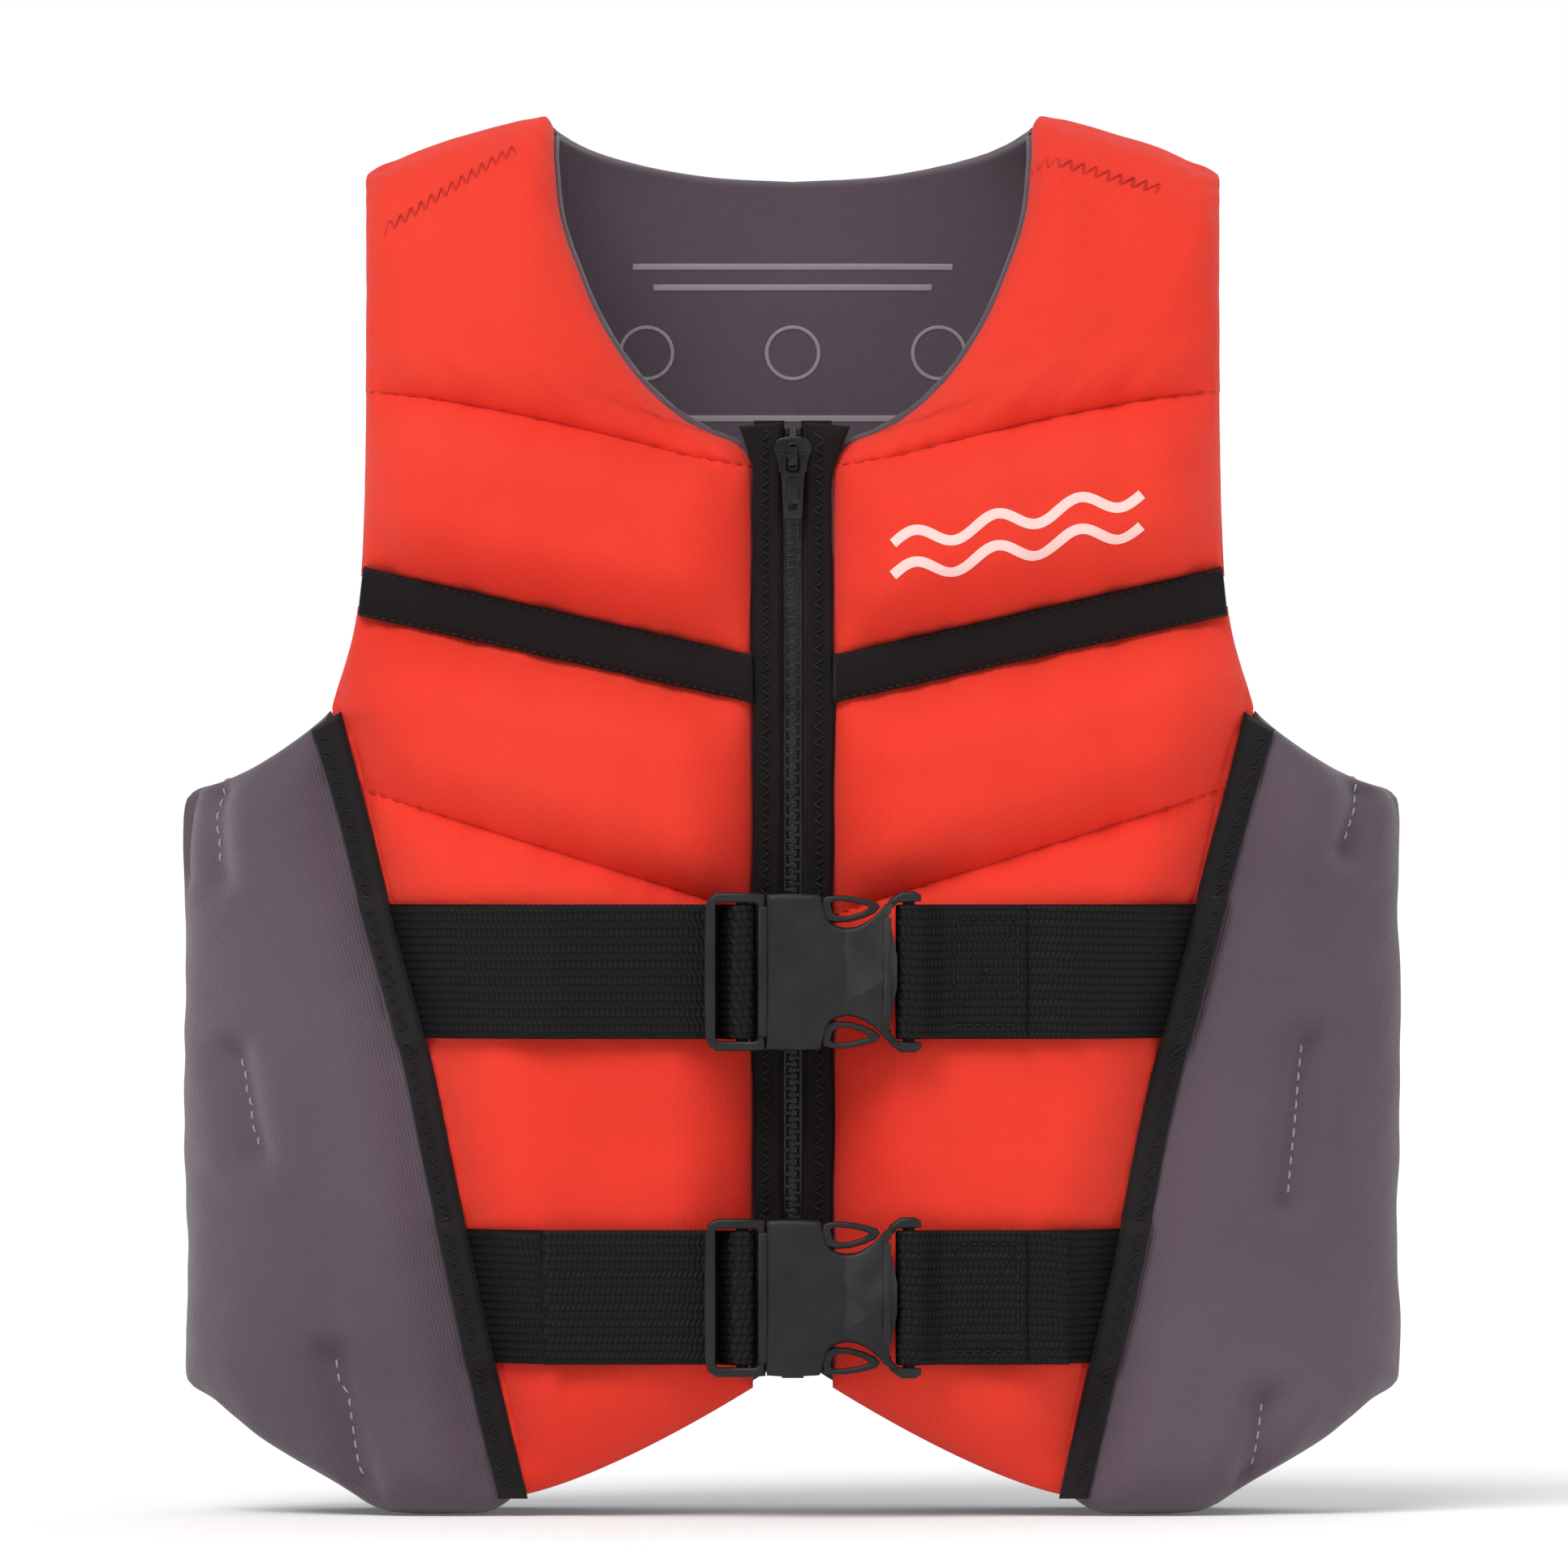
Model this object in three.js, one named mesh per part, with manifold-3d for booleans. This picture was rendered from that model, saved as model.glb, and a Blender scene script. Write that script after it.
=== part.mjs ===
// Child's zip-front flotation vest, standing upright on its hem.
// Millimetres. +Z is up, the front faces -Y, and +X is the wearer's left.
// The origin is on the surface the vest stands on, under the middle of its bounding box.

import * as THREE from "three";
import { mergeVertices } from "three/addons/utils/BufferGeometryUtils.js";
import Module from "manifold-3d";

const wasm = await Module();
wasm.setup();

// ---------------------------------------------------------------- the core surface
// Pads stand on the outside of the core surface and linings lie on its inside.

const CORE_HALF_WIDTH = 163;
const CORE_HALF_DEPTH = 38;
const CORE_SQUARENESS = 2.5;
const SPRING_Z = 300;
const CREST_Z = 401;
const SHOULDER_FALL = 25;
const ARCH_TRAVEL = 200;

// ---------------------------------------------------------------- the wearer's sides

const SIDES = [{ name: "right", sign: -1 }, { name: "left", sign: 1 }];

// ---------------------------------------------------------------- seams, as (x, z) on a half

const NECK_HALF_WIDTH = 68;
const ARM_HALF_WIDTH = 121;
const HEM_Z = 5;
const HEM_ARCH = 38;
const HEM_ARCH_POWER = 1.35;
const SEAM_GAP = 0.4;
const FACING_EDGE = 11;
const FACING_INNER = 3.5;
const FACING_FLARE = 4.5;
const FACING_TOP_Z = 306;
const PANEL_INNER = 11.3;
const EDGE_STEPS = 6;
const ARMPIT = [131, 228];
const TRIM_POINTS = [[79, HEM_Z], [91, 57], [105, 124], [119.5, 181], ARMPIT];
const STITCH_LOW = { inner: 170, outer: 207 };
const BAND_LOW = { inner: 230, outer: 255 };
const BAND_HEIGHT = 13.5;
const STITCH_HIGH = { inner: 297, outer: 318 };
const NECK_POINTS = [[16, 303.5], [29, 309], [43, 321], [54, 337], [61, 353], [66, 368]];
const SHOULDER_SEAM = { inner: 379, outer: 352 };
const SHOULDER_OVERLAP = 1;
const BACK_NECK_Z = 371;
const BACK_NECK_POINTS = [[51, 377], [66, 388]];
const BACK_STITCHES = [118, 232, 322];
const SIDE_HEM_POINTS = [[79, HEM_Z], [86, 0], [118, 0], [130, 9], [150, 20], [CORE_HALF_WIDTH, 33]];
const SIDE_ARM_POINTS = [ARMPIT, [137, 223], [152, 213], [CORE_HALF_WIDTH, 207]];

// ---------------------------------------------------------------- cloth and foam

const EDGE_THICKNESS = 5;
const SKIN = 2.2;
const CLEARANCE = 0.3;
const FOAM_CLEARANCE = 0.6;
const LINING_THICKNESS = 2;
const LINING_CLEARANCE = 0.8;
const CROWN_RUN = 20;
const CROWN_STEP = 0.2;
const CROWN_STEP_RISE = 0.6;
const EDGE_MARGIN = 1;
const TRIM_MARGIN = 5.8;
const FRONT_PAD = 22;
const YOKE_PAD = 15;
const BACK_PAD = 20;
const SIDE_PAD = 13;
const SIDE_CROWN_RUN = 14;
const YOKE_CROWN_RUN = 10;
const TRIM_WIDTH = 8.5;
const TRIM_THICKNESS = 1.5;
const FACING_LOW = 1.3;
const FACING_THICKNESS = 2.5;

// ---------------------------------------------------------------- zip

const TEETH_BOTTOM_Z = 46.3;
const TEETH_TOP_Z = 300.6;
const TOOTH_PITCH = 3.5;
const TOOTH_HEIGHT = 1.4;
const TOOTH_CROSSING = 0.7;
const SPINE = { inner: 1.6, outer: 2.3 };
const CHAIN = { low: -0.6, high: 1.7 };
const TAPE = { low: 0.2, high: 1.0, inner: 2.6, bottom: 45.6, top: 310 };
const SLIDER = {
  bottom: 295, shoulder: 301.8, top: 305.2, footHalf: 4.1, halfWidth: 5.5, topHalf: 3.3, plate: 1.5,
  front: 4.1, back: -0.9,
};
const SLIDER_FLANGE = { width: 1.2, rise: 0.8 };
const SLIDER_POST = { halfWidth: 1.2, bottom: 301.5 };
const WELD = 0.5;
const BRIDGE = { bottom: 296, top: 303.6, halfWidth: 1.2, rise: 3.7, foot: 1.6, roof: 1.4 };
const TAB_AXIS_Z = 299.8;
const TAB_AXIS_RISE = 6.85;
const TAB = {
  bar: 0.7, thickness: 1.5, eye: 5.4, eyeHalf: 1.7, above: 0.9, bottom: 282, halfTop: 3.6, halfBottom: 2.75,
};
const TAB_HOLE = { half: 1.2, rise: 2.6 };
const STOP = { bottom: 305.6, height: 2.4, inner: 1.0 };
const BOX = { bottom: 38.6, top: 45.2, halfWidth: 3.1, low: -1.8, high: 3.4 };
const PIN = { width: 1.0, bottom: 41, top: 46 };

// ---------------------------------------------------------------- straps and buckles

const BUCKLES = [{ name: "upper", z: 154 }, { name: "lower", z: 62 }];
const WEBBING_WIDTH = 38;
const WEBBING_THICKNESS = 1.5;
const WEBBING_SLACK = 0.15;
const MITRE_LIMIT = 0.6;
const ANCHOR_BURIED = 2.5;
const STRAP_LIFT = WEBBING_THICKNESS + CLEARANCE;
const STRAP_HALF = WEBBING_WIDTH / 2 + 1;
const STRAP_RAMP = 4;
const TRIM_HIGH_Z = 203;
const CROWN_DEPTH = CORE_HALF_DEPTH + FRONT_PAD;
const TAIL_LEVEL = 1.2;
const STANDING_LEVEL = 3.2;
const TAIL_END = 62;
const LOOP_END = 66;
const PLASTIC = { back: 4.3, front: 14.3, halfHeight: 22.4 };
const LADDER = { outer: -25, window: -21.8, end: -7.7, rail: 2.8, front: 11.3 };
const MIDDLE_BAR = { from: -16, to: -12.6, low: 5.6, high: 8.4 };
const CROSS_BAR = { from: -9.8, high: 7.6 };
const SOCKET = { mouth: -7.4, cavityEnd: 26, wall: 1.8, tail: 28, armEnd: 36 };
const CAVITY = { low: 6.4, high: 12.2 };
const END_BAR = { from: 31, to: 34.4, low: 5.6, high: 8.4 };
const TONGUE = { end: 19, half: 4.5 };
const BASE = { end: -2.2, half: 18.4 };
const PRONG_ROOT_X = -1.6;
const PRONG_ARM = { low: 15, high: 18 };
const PRONG_EAR = { start: 8.4, tip: 24.8, low: 13.8, high: 21.6 };

// ---------------------------------------------------------------- materials

/** A material of one piece of the vest. */
function finish(color, roughness, metalness = 0) {
  return new THREE.MeshStandardMaterial({ color, roughness, metalness });
}

const RED_NEOPRENE = finish(0xf2483a, 0.85);
const GREY_NEOPRENE = finish(0x6a5e6a, 0.9);
const BLACK_NEOPRENE = finish(0x1d1a1b, 0.8);
const FOAM = finish(0xe6e0d2, 0.95);
const WEBBING = finish(0x121112, 0.75);
const BUCKLE_PLASTIC = finish(0x303035, 0.45);
const ZIP_PLASTIC = finish(0x1b1b1d, 0.4);
const ZIP_TAPE = finish(0x101011, 0.9);

// ---------------------------------------------------------------- solids

/** Six times the volume inside a closed triangle mesh, negative if it is inside out. */
function signedVolume(positions, index) {
  const corners = [new THREE.Vector3(), new THREE.Vector3(), new THREE.Vector3()];
  let total = 0;
  for (let i = 0; i < index.length; i += 3) {
    corners.forEach((corner, k) => corner.fromArray(positions, 3 * index[i + k]));
    total += corners[0].dot(corners[1].clone().cross(corners[2]));
  }
  return total;
}

/** A manifold solid from a closed three.js geometry. */
function solid(geometry) {
  geometry.deleteAttribute("normal");
  geometry.deleteAttribute("uv");
  const merged = mergeVertices(geometry);
  const vertProperties = new Float32Array(merged.attributes.position.array);
  const triVerts = new Uint32Array(merged.index.array);
  if (signedVolume(vertProperties, triVerts) < 0) triVerts.reverse();
  return new wasm.Manifold(new wasm.Mesh({ numProp: 3, vertProperties, triVerts }));
}

/** A named mesh from a manifold solid. */
function piece(name, body, material) {
  const { vertProperties, triVerts } = body.getMesh();
  const geometry = new THREE.BufferGeometry();
  geometry.setAttribute("position", new THREE.BufferAttribute(vertProperties, 3));
  geometry.setIndex(new THREE.BufferAttribute(triVerts, 1));
  geometry.computeVertexNormals();
  const mesh = new THREE.Mesh(geometry, material);
  mesh.name = name;
  return mesh;
}

/** A box between two corners. */
function block(x0, x1, y0, y1, z0, z1) {
  const geometry = new THREE.BoxGeometry(x1 - x0, y1 - y0, z1 - z0);
  geometry.translate((x0 + x1) / 2, (y0 + y1) / 2, (z0 + z1) / 2);
  return solid(geometry);
}

/** A plate cut to an outline in X and Z, from one distance in front of the middle plane to another. */
function plate(points, near, far) {
  const shape = new THREE.Shape(points.map(([x, z]) => new THREE.Vector2(x, z)));
  const geometry = new THREE.ExtrudeGeometry(shape, { depth: far - near, bevelEnabled: false });
  geometry.rotateX(Math.PI / 2);
  geometry.translate(0, -near, 0);
  return solid(geometry);
}

// ---------------------------------------------------------------- the core surface, as functions

/** Depth of the core in front of the middle plane at a distance across. */
function coreDepth(x) {
  const share = Math.abs(x / CORE_HALF_WIDTH) ** CORE_SQUARENESS;
  return CORE_HALF_DEPTH * (1 - share) ** (1 / CORE_SQUARENESS);
}

/** Height of the shoulder arch above its spring at a distance across. */
function archRise(x) {
  return CREST_Z - SPRING_Z - SHOULDER_FALL * (x / ARM_HALF_WIDTH) ** 2;
}

/** Slope of a function of x. */
function slope(f, x) {
  const step = 0.01;
  return (f(x + step) - f(x - step)) / (2 * step);
}

/** The travel up the front that reaches a height, at a distance across. */
function frontTravel(x, z) {
  if (z <= SPRING_Z) return z;
  return SPRING_Z + (Math.asin((z - SPRING_Z) / archRise(x)) / Math.PI) * ARCH_TRAVEL;
}

/** The travel over the shoulder and down the back that reaches a height. */
function backTravel(x, z) {
  return 2 * SPRING_Z + ARCH_TRAVEL - frontTravel(x, z);
}

/** The point at a distance across, a travel over the body and a height off the core. */
function place(x, travel, height) {
  const turn = THREE.MathUtils.clamp((travel - SPRING_Z) / ARCH_TRAVEL, 0, 1) * Math.PI;
  const drop = Math.min(0, travel - SPRING_Z, SPRING_Z + ARCH_TRAVEL - travel);
  const depth = coreDepth(x);
  const rise = archRise(x);
  const point = new THREE.Vector3(x, -depth * Math.cos(turn), SPRING_Z + rise * Math.sin(turn) + drop);
  const across = Math.cos(turn) ** 2 * (slope(coreDepth, x) / depth)
    + Math.sin(turn) ** 2 * (slope(archRise, x) / rise);
  const normal = new THREE.Vector3(-across, -Math.cos(turn) / depth, Math.sin(turn) / rise);
  return point.addScaledVector(normal.normalize(), height);
}

/** The angle round the core, from the middle of the front, at a distance across. */
function coreAngle(x) {
  return Math.asin((x / CORE_HALF_WIDTH) ** (CORE_SQUARENESS / 2));
}

/** The distance across at an angle round the core. */
function coreAcross(angle) {
  return CORE_HALF_WIDTH * Math.sin(angle) ** (2 / CORE_SQUARENESS);
}

/** The point at an angle round one side of the core, a height and a height off the core. */
function placeRound(sign, angle, z, height) {
  const x = coreAcross(angle);
  const cosine = Math.cos(angle);
  const y = -CORE_HALF_DEPTH * Math.sign(cosine) * Math.abs(cosine) ** (2 / CORE_SQUARENESS);
  const power = CORE_SQUARENESS - 1;
  const normal = new THREE.Vector3(
    (x / CORE_HALF_WIDTH) ** power / CORE_HALF_WIDTH,
    (Math.sign(y) * Math.abs(y / CORE_HALF_DEPTH) ** power) / CORE_HALF_DEPTH,
    0,
  ).normalize();
  const point = new THREE.Vector3(x, y, z).addScaledVector(normal, height);
  point.x *= sign;
  return point;
}

// ---------------------------------------------------------------- seams, as functions

/** The value at x on a line through points, straight between them. */
function along(points, x) {
  const next = Math.max(1, points.findIndex((point) => point[0] >= x));
  const [x0, z0] = points[next - 1];
  const [x1, z1] = points[next];
  return THREE.MathUtils.lerp(z0, z1, THREE.MathUtils.clamp((x - x0) / (x1 - x0), 0, 1));
}

const trimCurve = new THREE.SplineCurve(TRIM_POINTS.map((point) => new THREE.Vector2(...point)));

/** Distance across to the middle of the side trim at a height. */
function trimX(z) {
  const samples = trimCurve.getPoints(60).map((point) => [point.y, point.x]);
  return along(samples, z);
}

/** Distance across to the edge of the armhole at a height above the armpit. */
function armX(z) {
  return along([[ARMPIT[1], ARMPIT[0]], [254, 124], [285, 121.7], [CREST_Z, ARM_HALF_WIDTH]], z);
}

/** Outer edge of a front or back panel: the side seam below the armpit, the armhole above it. */
function outerX(z) {
  return z < ARMPIT[1] ? trimX(z) - SEAM_GAP / 2 : armX(z);
}

/** Height of the hem at a distance across, between the side seams. */
function hemZ(x) {
  const share = Math.max(0, 1 - Math.abs(x) / TRIM_POINTS[0][0]);
  return HEM_Z + HEM_ARCH * share ** HEM_ARCH_POWER;
}

// ---------------------------------------------------------------- patches
// A patch is a stretch of cloth, or several in a row: point(u, v, height) is a point on it,
// where u runs across it and v up it, and each whole number starts the next cell.

/** A panel ruled between an inner and an outer edge, cell after cell, each edge a list of (x, travel). */
class RuledPatch {
  constructor(cells, hem = null) {
    this.hem = hem;
    this.cells = cells.map(({ inner, outer }) => ({ inner: edgeCurve(inner), outer: edgeCurve(outer) }));
  }

  point(u, v, height) {
    const cell = Math.min(Math.floor(v), this.cells.length - 1);
    const share = v - cell;
    const spot = this.cells[cell].inner.getPointAt(share);
    spot.lerp(this.cells[cell].outer.getPointAt(share), u);
    if (this.hem && cell === 0) {
      const [from, to] = [this.cells[0].inner, this.cells[0].outer].map((edge) => edge.getPointAt(0).y);
      spot.y += this.hem(spot.x, THREE.MathUtils.lerp(from, to, u)) * (1 - share) ** 2;
    }
    return place(spot.x, spot.y, height);
  }
}

/** A curve through the points of an edge, straight where there are only two. */
function edgeCurve(points) {
  const spots = points.map(([x, travel]) => new THREE.Vector2(x, travel));
  return spots.length === 2 ? new THREE.LineCurve(...spots) : new THREE.SplineCurve(spots);
}

/** A side panel: its first cell runs from the front seam to the fold, and its second on to the back seam. */
class SidePatch {
  constructor(sign) {
    this.sign = sign;
  }

  point(u, v, height) {
    const back = u > 1;
    const share = back ? 2 - u : u;
    const seamZ = THREE.MathUtils.lerp(HEM_Z, ARMPIT[1], v);
    const angleAt = (z) => THREE.MathUtils.lerp(coreAngle(trimX(z) + SEAM_GAP / 2), Math.PI / 2, share);
    const low = along(SIDE_HEM_POINTS, coreAcross(angleAt(HEM_Z)));
    const high = along(SIDE_ARM_POINTS, coreAcross(angleAt(ARMPIT[1])));
    const angle = angleAt(seamZ);
    return placeRound(this.sign, back ? Math.PI - angle : angle, THREE.MathUtils.lerp(low, high, v), height);
  }
}

// ---------------------------------------------------------------- stops
// A stop is a line across or up a patch: its cell, where it lies in that cell, and its share of
// the pad's rise there. near and far are distances from the cell's two edges.

/** Stops for one padded cell: flat margins at its edges, and a crown that runs up from each. */
function padStops(cell, start, end, run, middle, full = null) {
  const rising = [
    { rise: 0, offset: 0 },
    { rise: CROWN_STEP_RISE, offset: CROWN_STEP * run },
    { rise: 1, offset: run },
  ];
  const stops = [{ cell, near: 0, rise: 0, full }];
  rising.forEach(({ rise, offset }) => stops.push({ cell, near: start + offset, rise, full }));
  for (let k = 1; k < middle; k += 1) {
    stops.push({ cell, near: start + run, far: end + run, share: k / middle, rise: 1, full });
  }
  rising.reverse().forEach(({ rise, offset }) => stops.push({ cell, far: end + offset, rise, full }));
  stops.push({ cell, far: 0, rise: 0, full });
  return stops;
}

/** Stops for a flat cell. */
function flatStops(cell, count) {
  return Array.from({ length: count + 1 }, (_, k) => ({ cell, near: 0, far: 0, share: k / count, rise: 0 }));
}

/** Joins the stops of cells that follow each other, which share a stop. */
function chain(...lists) {
  return lists.flatMap((list, k) => (k === 0 ? list : list.slice(1)));
}

/** The stops of one cell between its crowns' first steps, where its foam lies. */
function foamStops(stops, cell, inset) {
  const inside = stops.filter((stop) => stop.cell === cell && stop.rise > 0).map((stop) => ({ ...stop }));
  inside[0].near += inset;
  inside[inside.length - 1].far += inset;
  return inside;
}

/** Length of a patch's cell along one of its two directions, where the other is held. */
function cellLength(patch, cell, other, acrossward) {
  const steps = 8;
  let length = 0;
  let last = null;
  for (let k = 0; k <= steps; k += 1) {
    const here = cell + k / steps - (k === steps ? 1e-9 : 0);
    const point = acrossward ? patch.point(here, other, 0) : patch.point(other, here, 0);
    if (last) length += point.distanceTo(last);
    last = point;
  }
  return length;
}

/** Where a stop lies in a cell of a length, from 0 to 1. */
function stopShare(stop, length) {
  if (stop.share !== undefined) {
    return THREE.MathUtils.lerp(stop.near / length, 1 - stop.far / length, stop.share);
  }
  return stop.near !== undefined ? stop.near / length : 1 - stop.far / length;
}

/** A body over a patch, between two heights, each a function of the rise and the full height there. */
function blanket(patch, columns, rows, low, high) {
  const across = columns.length - 1;
  const up = rows.length - 1;
  const geometry = new THREE.BoxGeometry(1, 1, 1, across, up, 1);
  const position = geometry.attributes.position;
  const spots = new Map();
  for (let k = 0; k < position.count; k += 1) {
    const i = Math.round((position.getX(k) + 0.5) * across);
    const j = Math.round((position.getY(k) + 0.5) * up);
    const key = i * rows.length + j;
    if (!spots.has(key)) spots.set(key, gridSpot(patch, columns[i], rows[j]));
    const { u, v, rise } = spots.get(key);
    const height = (position.getZ(k) > 0 ? high : low)(rise, rows[j].full);
    position.setXYZ(k, ...patch.point(u, v, height).toArray());
  }
  return solid(geometry);
}

/** Where a column and a row of stops cross on a patch, and the rise there. */
function gridSpot(patch, column, row) {
  const roughU = column.cell + stopShare(column, cellLength(patch, column.cell, row.cell + 0.5, true));
  const v = row.cell + stopShare(row, cellLength(patch, row.cell, roughU, false));
  const u = column.cell + stopShare(column, cellLength(patch, column.cell, v, true));
  return { u, v, rise: column.rise * row.rise };
}

/** Height of a pad's outside where its crown has risen by a share. */
function padTop(rise, full) {
  return EDGE_THICKNESS + rise * ((full ?? EDGE_THICKNESS) - EDGE_THICKNESS);
}

/** An outer shell: a padded blanket, open at the back behind each cell that holds foam. */
function shell(patch, columns, rows, foamCells) {
  let body = blanket(patch, columns, rows, () => 0, padTop);
  foamCells.forEach(([column, row]) => {
    const hollow = blanket(patch, foamStops(columns, column, 0), foamStops(rows, row, 0),
      () => -1, (rise, full) => padTop(rise, full) - SKIN);
    body = body.subtract(hollow);
  });
  return body;
}

/** The foam in one cell of a shell. */
function foam(patch, columns, rows, [column, row]) {
  return blanket(patch, foamStops(columns, column, FOAM_CLEARANCE), foamStops(rows, row, FOAM_CLEARANCE),
    () => 0, (rise, full) => padTop(rise, full) - SKIN - FOAM_CLEARANCE);
}

/** The stops of a list that a flat cloth needs: the edges of its cells, and the even stretches between. */
function plainStops(stops) {
  return stops.filter(({ near, far, rise }) => rise === 1 || near === 0 || far === 0);
}

/** The lining behind a patch. */
function lining(patch, columns, rows) {
  return blanket(patch, plainStops(columns), plainStops(rows),
    () => -LINING_CLEARANCE - LINING_THICKNESS, () => -LINING_CLEARANCE);
}

// ---------------------------------------------------------------- front panels

/** Mirrors (x, travel) points to the side that a sign gives. */
function toSide(sign, points) {
  return points.map(([x, travel]) => [sign * x, travel]);
}

/** An edge of a front half between two heights, from a rule that gives x at a height. */
function frontEdge(sign, rule, from, to, steps) {
  const points = [];
  for (let k = 0; k <= steps; k += 1) {
    const z = THREE.MathUtils.lerp(from, to, k / steps);
    points.push([rule(z), frontTravel(rule(z), z)]);
  }
  return toSide(sign, points);
}

/** The cells of a front half, from the hem up. */
function frontCells(sign) {
  const bandHigh = { inner: BAND_LOW.inner + BAND_HEIGHT, outer: BAND_LOW.outer + BAND_HEIGHT };
  const levels = [{ inner: hemZ(FACING_EDGE), outer: HEM_Z }, STITCH_LOW, BAND_LOW, bandHigh, STITCH_HIGH];
  const cells = levels.slice(1).map((high, k) => ({
    inner: frontEdge(sign, () => PANEL_INNER, levels[k].inner, high.inner, 1),
    outer: frontEdge(sign, outerX, levels[k].outer, high.outer, EDGE_STEPS),
  }));
  const neck = [[PANEL_INNER, STITCH_HIGH.inner], ...NECK_POINTS, [NECK_HALF_WIDTH, SHOULDER_SEAM.inner]];
  cells.push({
    inner: toSide(sign, neck.map(([x, z]) => [x, frontTravel(x, z)])),
    outer: frontEdge(sign, outerX, STITCH_HIGH.outer, SHOULDER_SEAM.outer, 2),
  });
  return cells;
}

/** A copy of a row of cells, with a gap at its start and at its end. */
function trimmedCells(cells, startGap, endGap) {
  const trimmed = structuredClone(cells);
  const first = trimmed[0];
  const last = trimmed[trimmed.length - 1];
  [first.inner, first.outer].forEach((edge) => { edge[0][1] += startGap; });
  [last.inner, last.outer].forEach((edge) => { edge[edge.length - 1][1] -= endGap; });
  return trimmed;
}

/** How far the hem lies above the straight line between the ends of the lowest row. */
function frontHem(x, ruled) {
  return hemZ(x) - ruled;
}

/** Everything of one front half that is cloth or foam. */
function frontHalf({ name, sign }) {
  const cells = frontCells(sign);
  const columns = padStops(0, EDGE_MARGIN, TRIM_MARGIN, CROWN_RUN, 3);
  const bellyRows = padStops(0, EDGE_MARGIN, EDGE_MARGIN, CROWN_RUN, 4, FRONT_PAD);
  const ribRows = padStops(1, EDGE_MARGIN, EDGE_MARGIN, CROWN_RUN, 1, FRONT_PAD);
  const chestRows = padStops(0, EDGE_MARGIN, EDGE_MARGIN, CROWN_RUN, 1, FRONT_PAD);
  const yokeRows = padStops(1, EDGE_MARGIN, EDGE_MARGIN, YOKE_CROWN_RUN, 3, YOKE_PAD);
  const lower = new RuledPatch(cells.slice(0, 2), frontHem);
  const lowerRows = chain(bellyRows, ribRows);
  const band = new RuledPatch(trimmedCells(cells.slice(2, 3), CLEARANCE, CLEARANCE));
  const upper = new RuledPatch(trimmedCells(cells.slice(3), 0, CLEARANCE));
  const upperRows = chain(chestRows, yokeRows);
  const whole = new RuledPatch(trimmedCells(cells, 0, CLEARANCE), frontHem);
  const bandCloth = blanket(band, columns, flatStops(0, 1), () => 0, () => EDGE_THICKNESS);
  const inCell = (rows, cell) => rows.map((row) => ({ ...row, cell }));
  const wholeRows = chain(bellyRows, ribRows, flatStops(2, 1), inCell(chestRows, 3), inCell(yokeRows, 4));
  return [
    piece(`${name}_lower_shell`, shell(lower, columns, lowerRows, [[0, 0], [0, 1]]), RED_NEOPRENE),
    piece(`${name}_chest_band`, bandCloth, BLACK_NEOPRENE),
    piece(`${name}_upper_shell`, shell(upper, columns, upperRows, [[0, 0], [0, 1]]), RED_NEOPRENE),
    piece(`${name}_belly_foam`, foam(lower, columns, lowerRows, [0, 0]), FOAM),
    piece(`${name}_rib_foam`, foam(lower, columns, lowerRows, [0, 1]), FOAM),
    piece(`${name}_chest_foam`, foam(upper, columns, upperRows, [0, 0]), FOAM),
    piece(`${name}_yoke_foam`, foam(upper, columns, upperRows, [0, 1]), FOAM),
    piece(`${name}_front_lining`, lining(whole, columns, wholeRows), GREY_NEOPRENE),
  ];
}

// ---------------------------------------------------------------- side panels and trims

/** One grey side panel with its foams and lining. */
function sidePanel({ name, sign }) {
  const patch = new SidePatch(sign);
  const columns = chain(
    padStops(0, TRIM_MARGIN, EDGE_MARGIN, SIDE_CROWN_RUN, 3),
    padStops(1, EDGE_MARGIN, TRIM_MARGIN, SIDE_CROWN_RUN, 3),
  );
  const rows = padStops(0, EDGE_MARGIN, EDGE_MARGIN, SIDE_CROWN_RUN, 3, SIDE_PAD);
  return [
    piece(`${name}_side_shell`, shell(patch, columns, rows, [[0, 0], [1, 0]]), GREY_NEOPRENE),
    piece(`${name}_side_front_foam`, foam(patch, columns, rows, [0, 0]), FOAM),
    piece(`${name}_side_back_foam`, foam(patch, columns, rows, [1, 0]), FOAM),
    piece(`${name}_side_lining`, lining(patch, columns, rows), GREY_NEOPRENE),
  ];
}

const TRIM_STEPS_Z = [HEM_Z, ...BUCKLES.slice().reverse().flatMap(({ z }) => [
  z - STRAP_HALF - STRAP_RAMP, z - STRAP_HALF, z, z + STRAP_HALF, z + STRAP_HALF + STRAP_RAMP,
]), TRIM_HIGH_Z, ARMPIT[1]];

/** How far a front trim stands off at a height, where it passes over a strap's end. */
function strapLift(z) {
  return BUCKLES.some((buckle) => Math.abs(z - buckle.z) <= STRAP_HALF + 0.01) ? STRAP_LIFT : 0;
}

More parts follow.
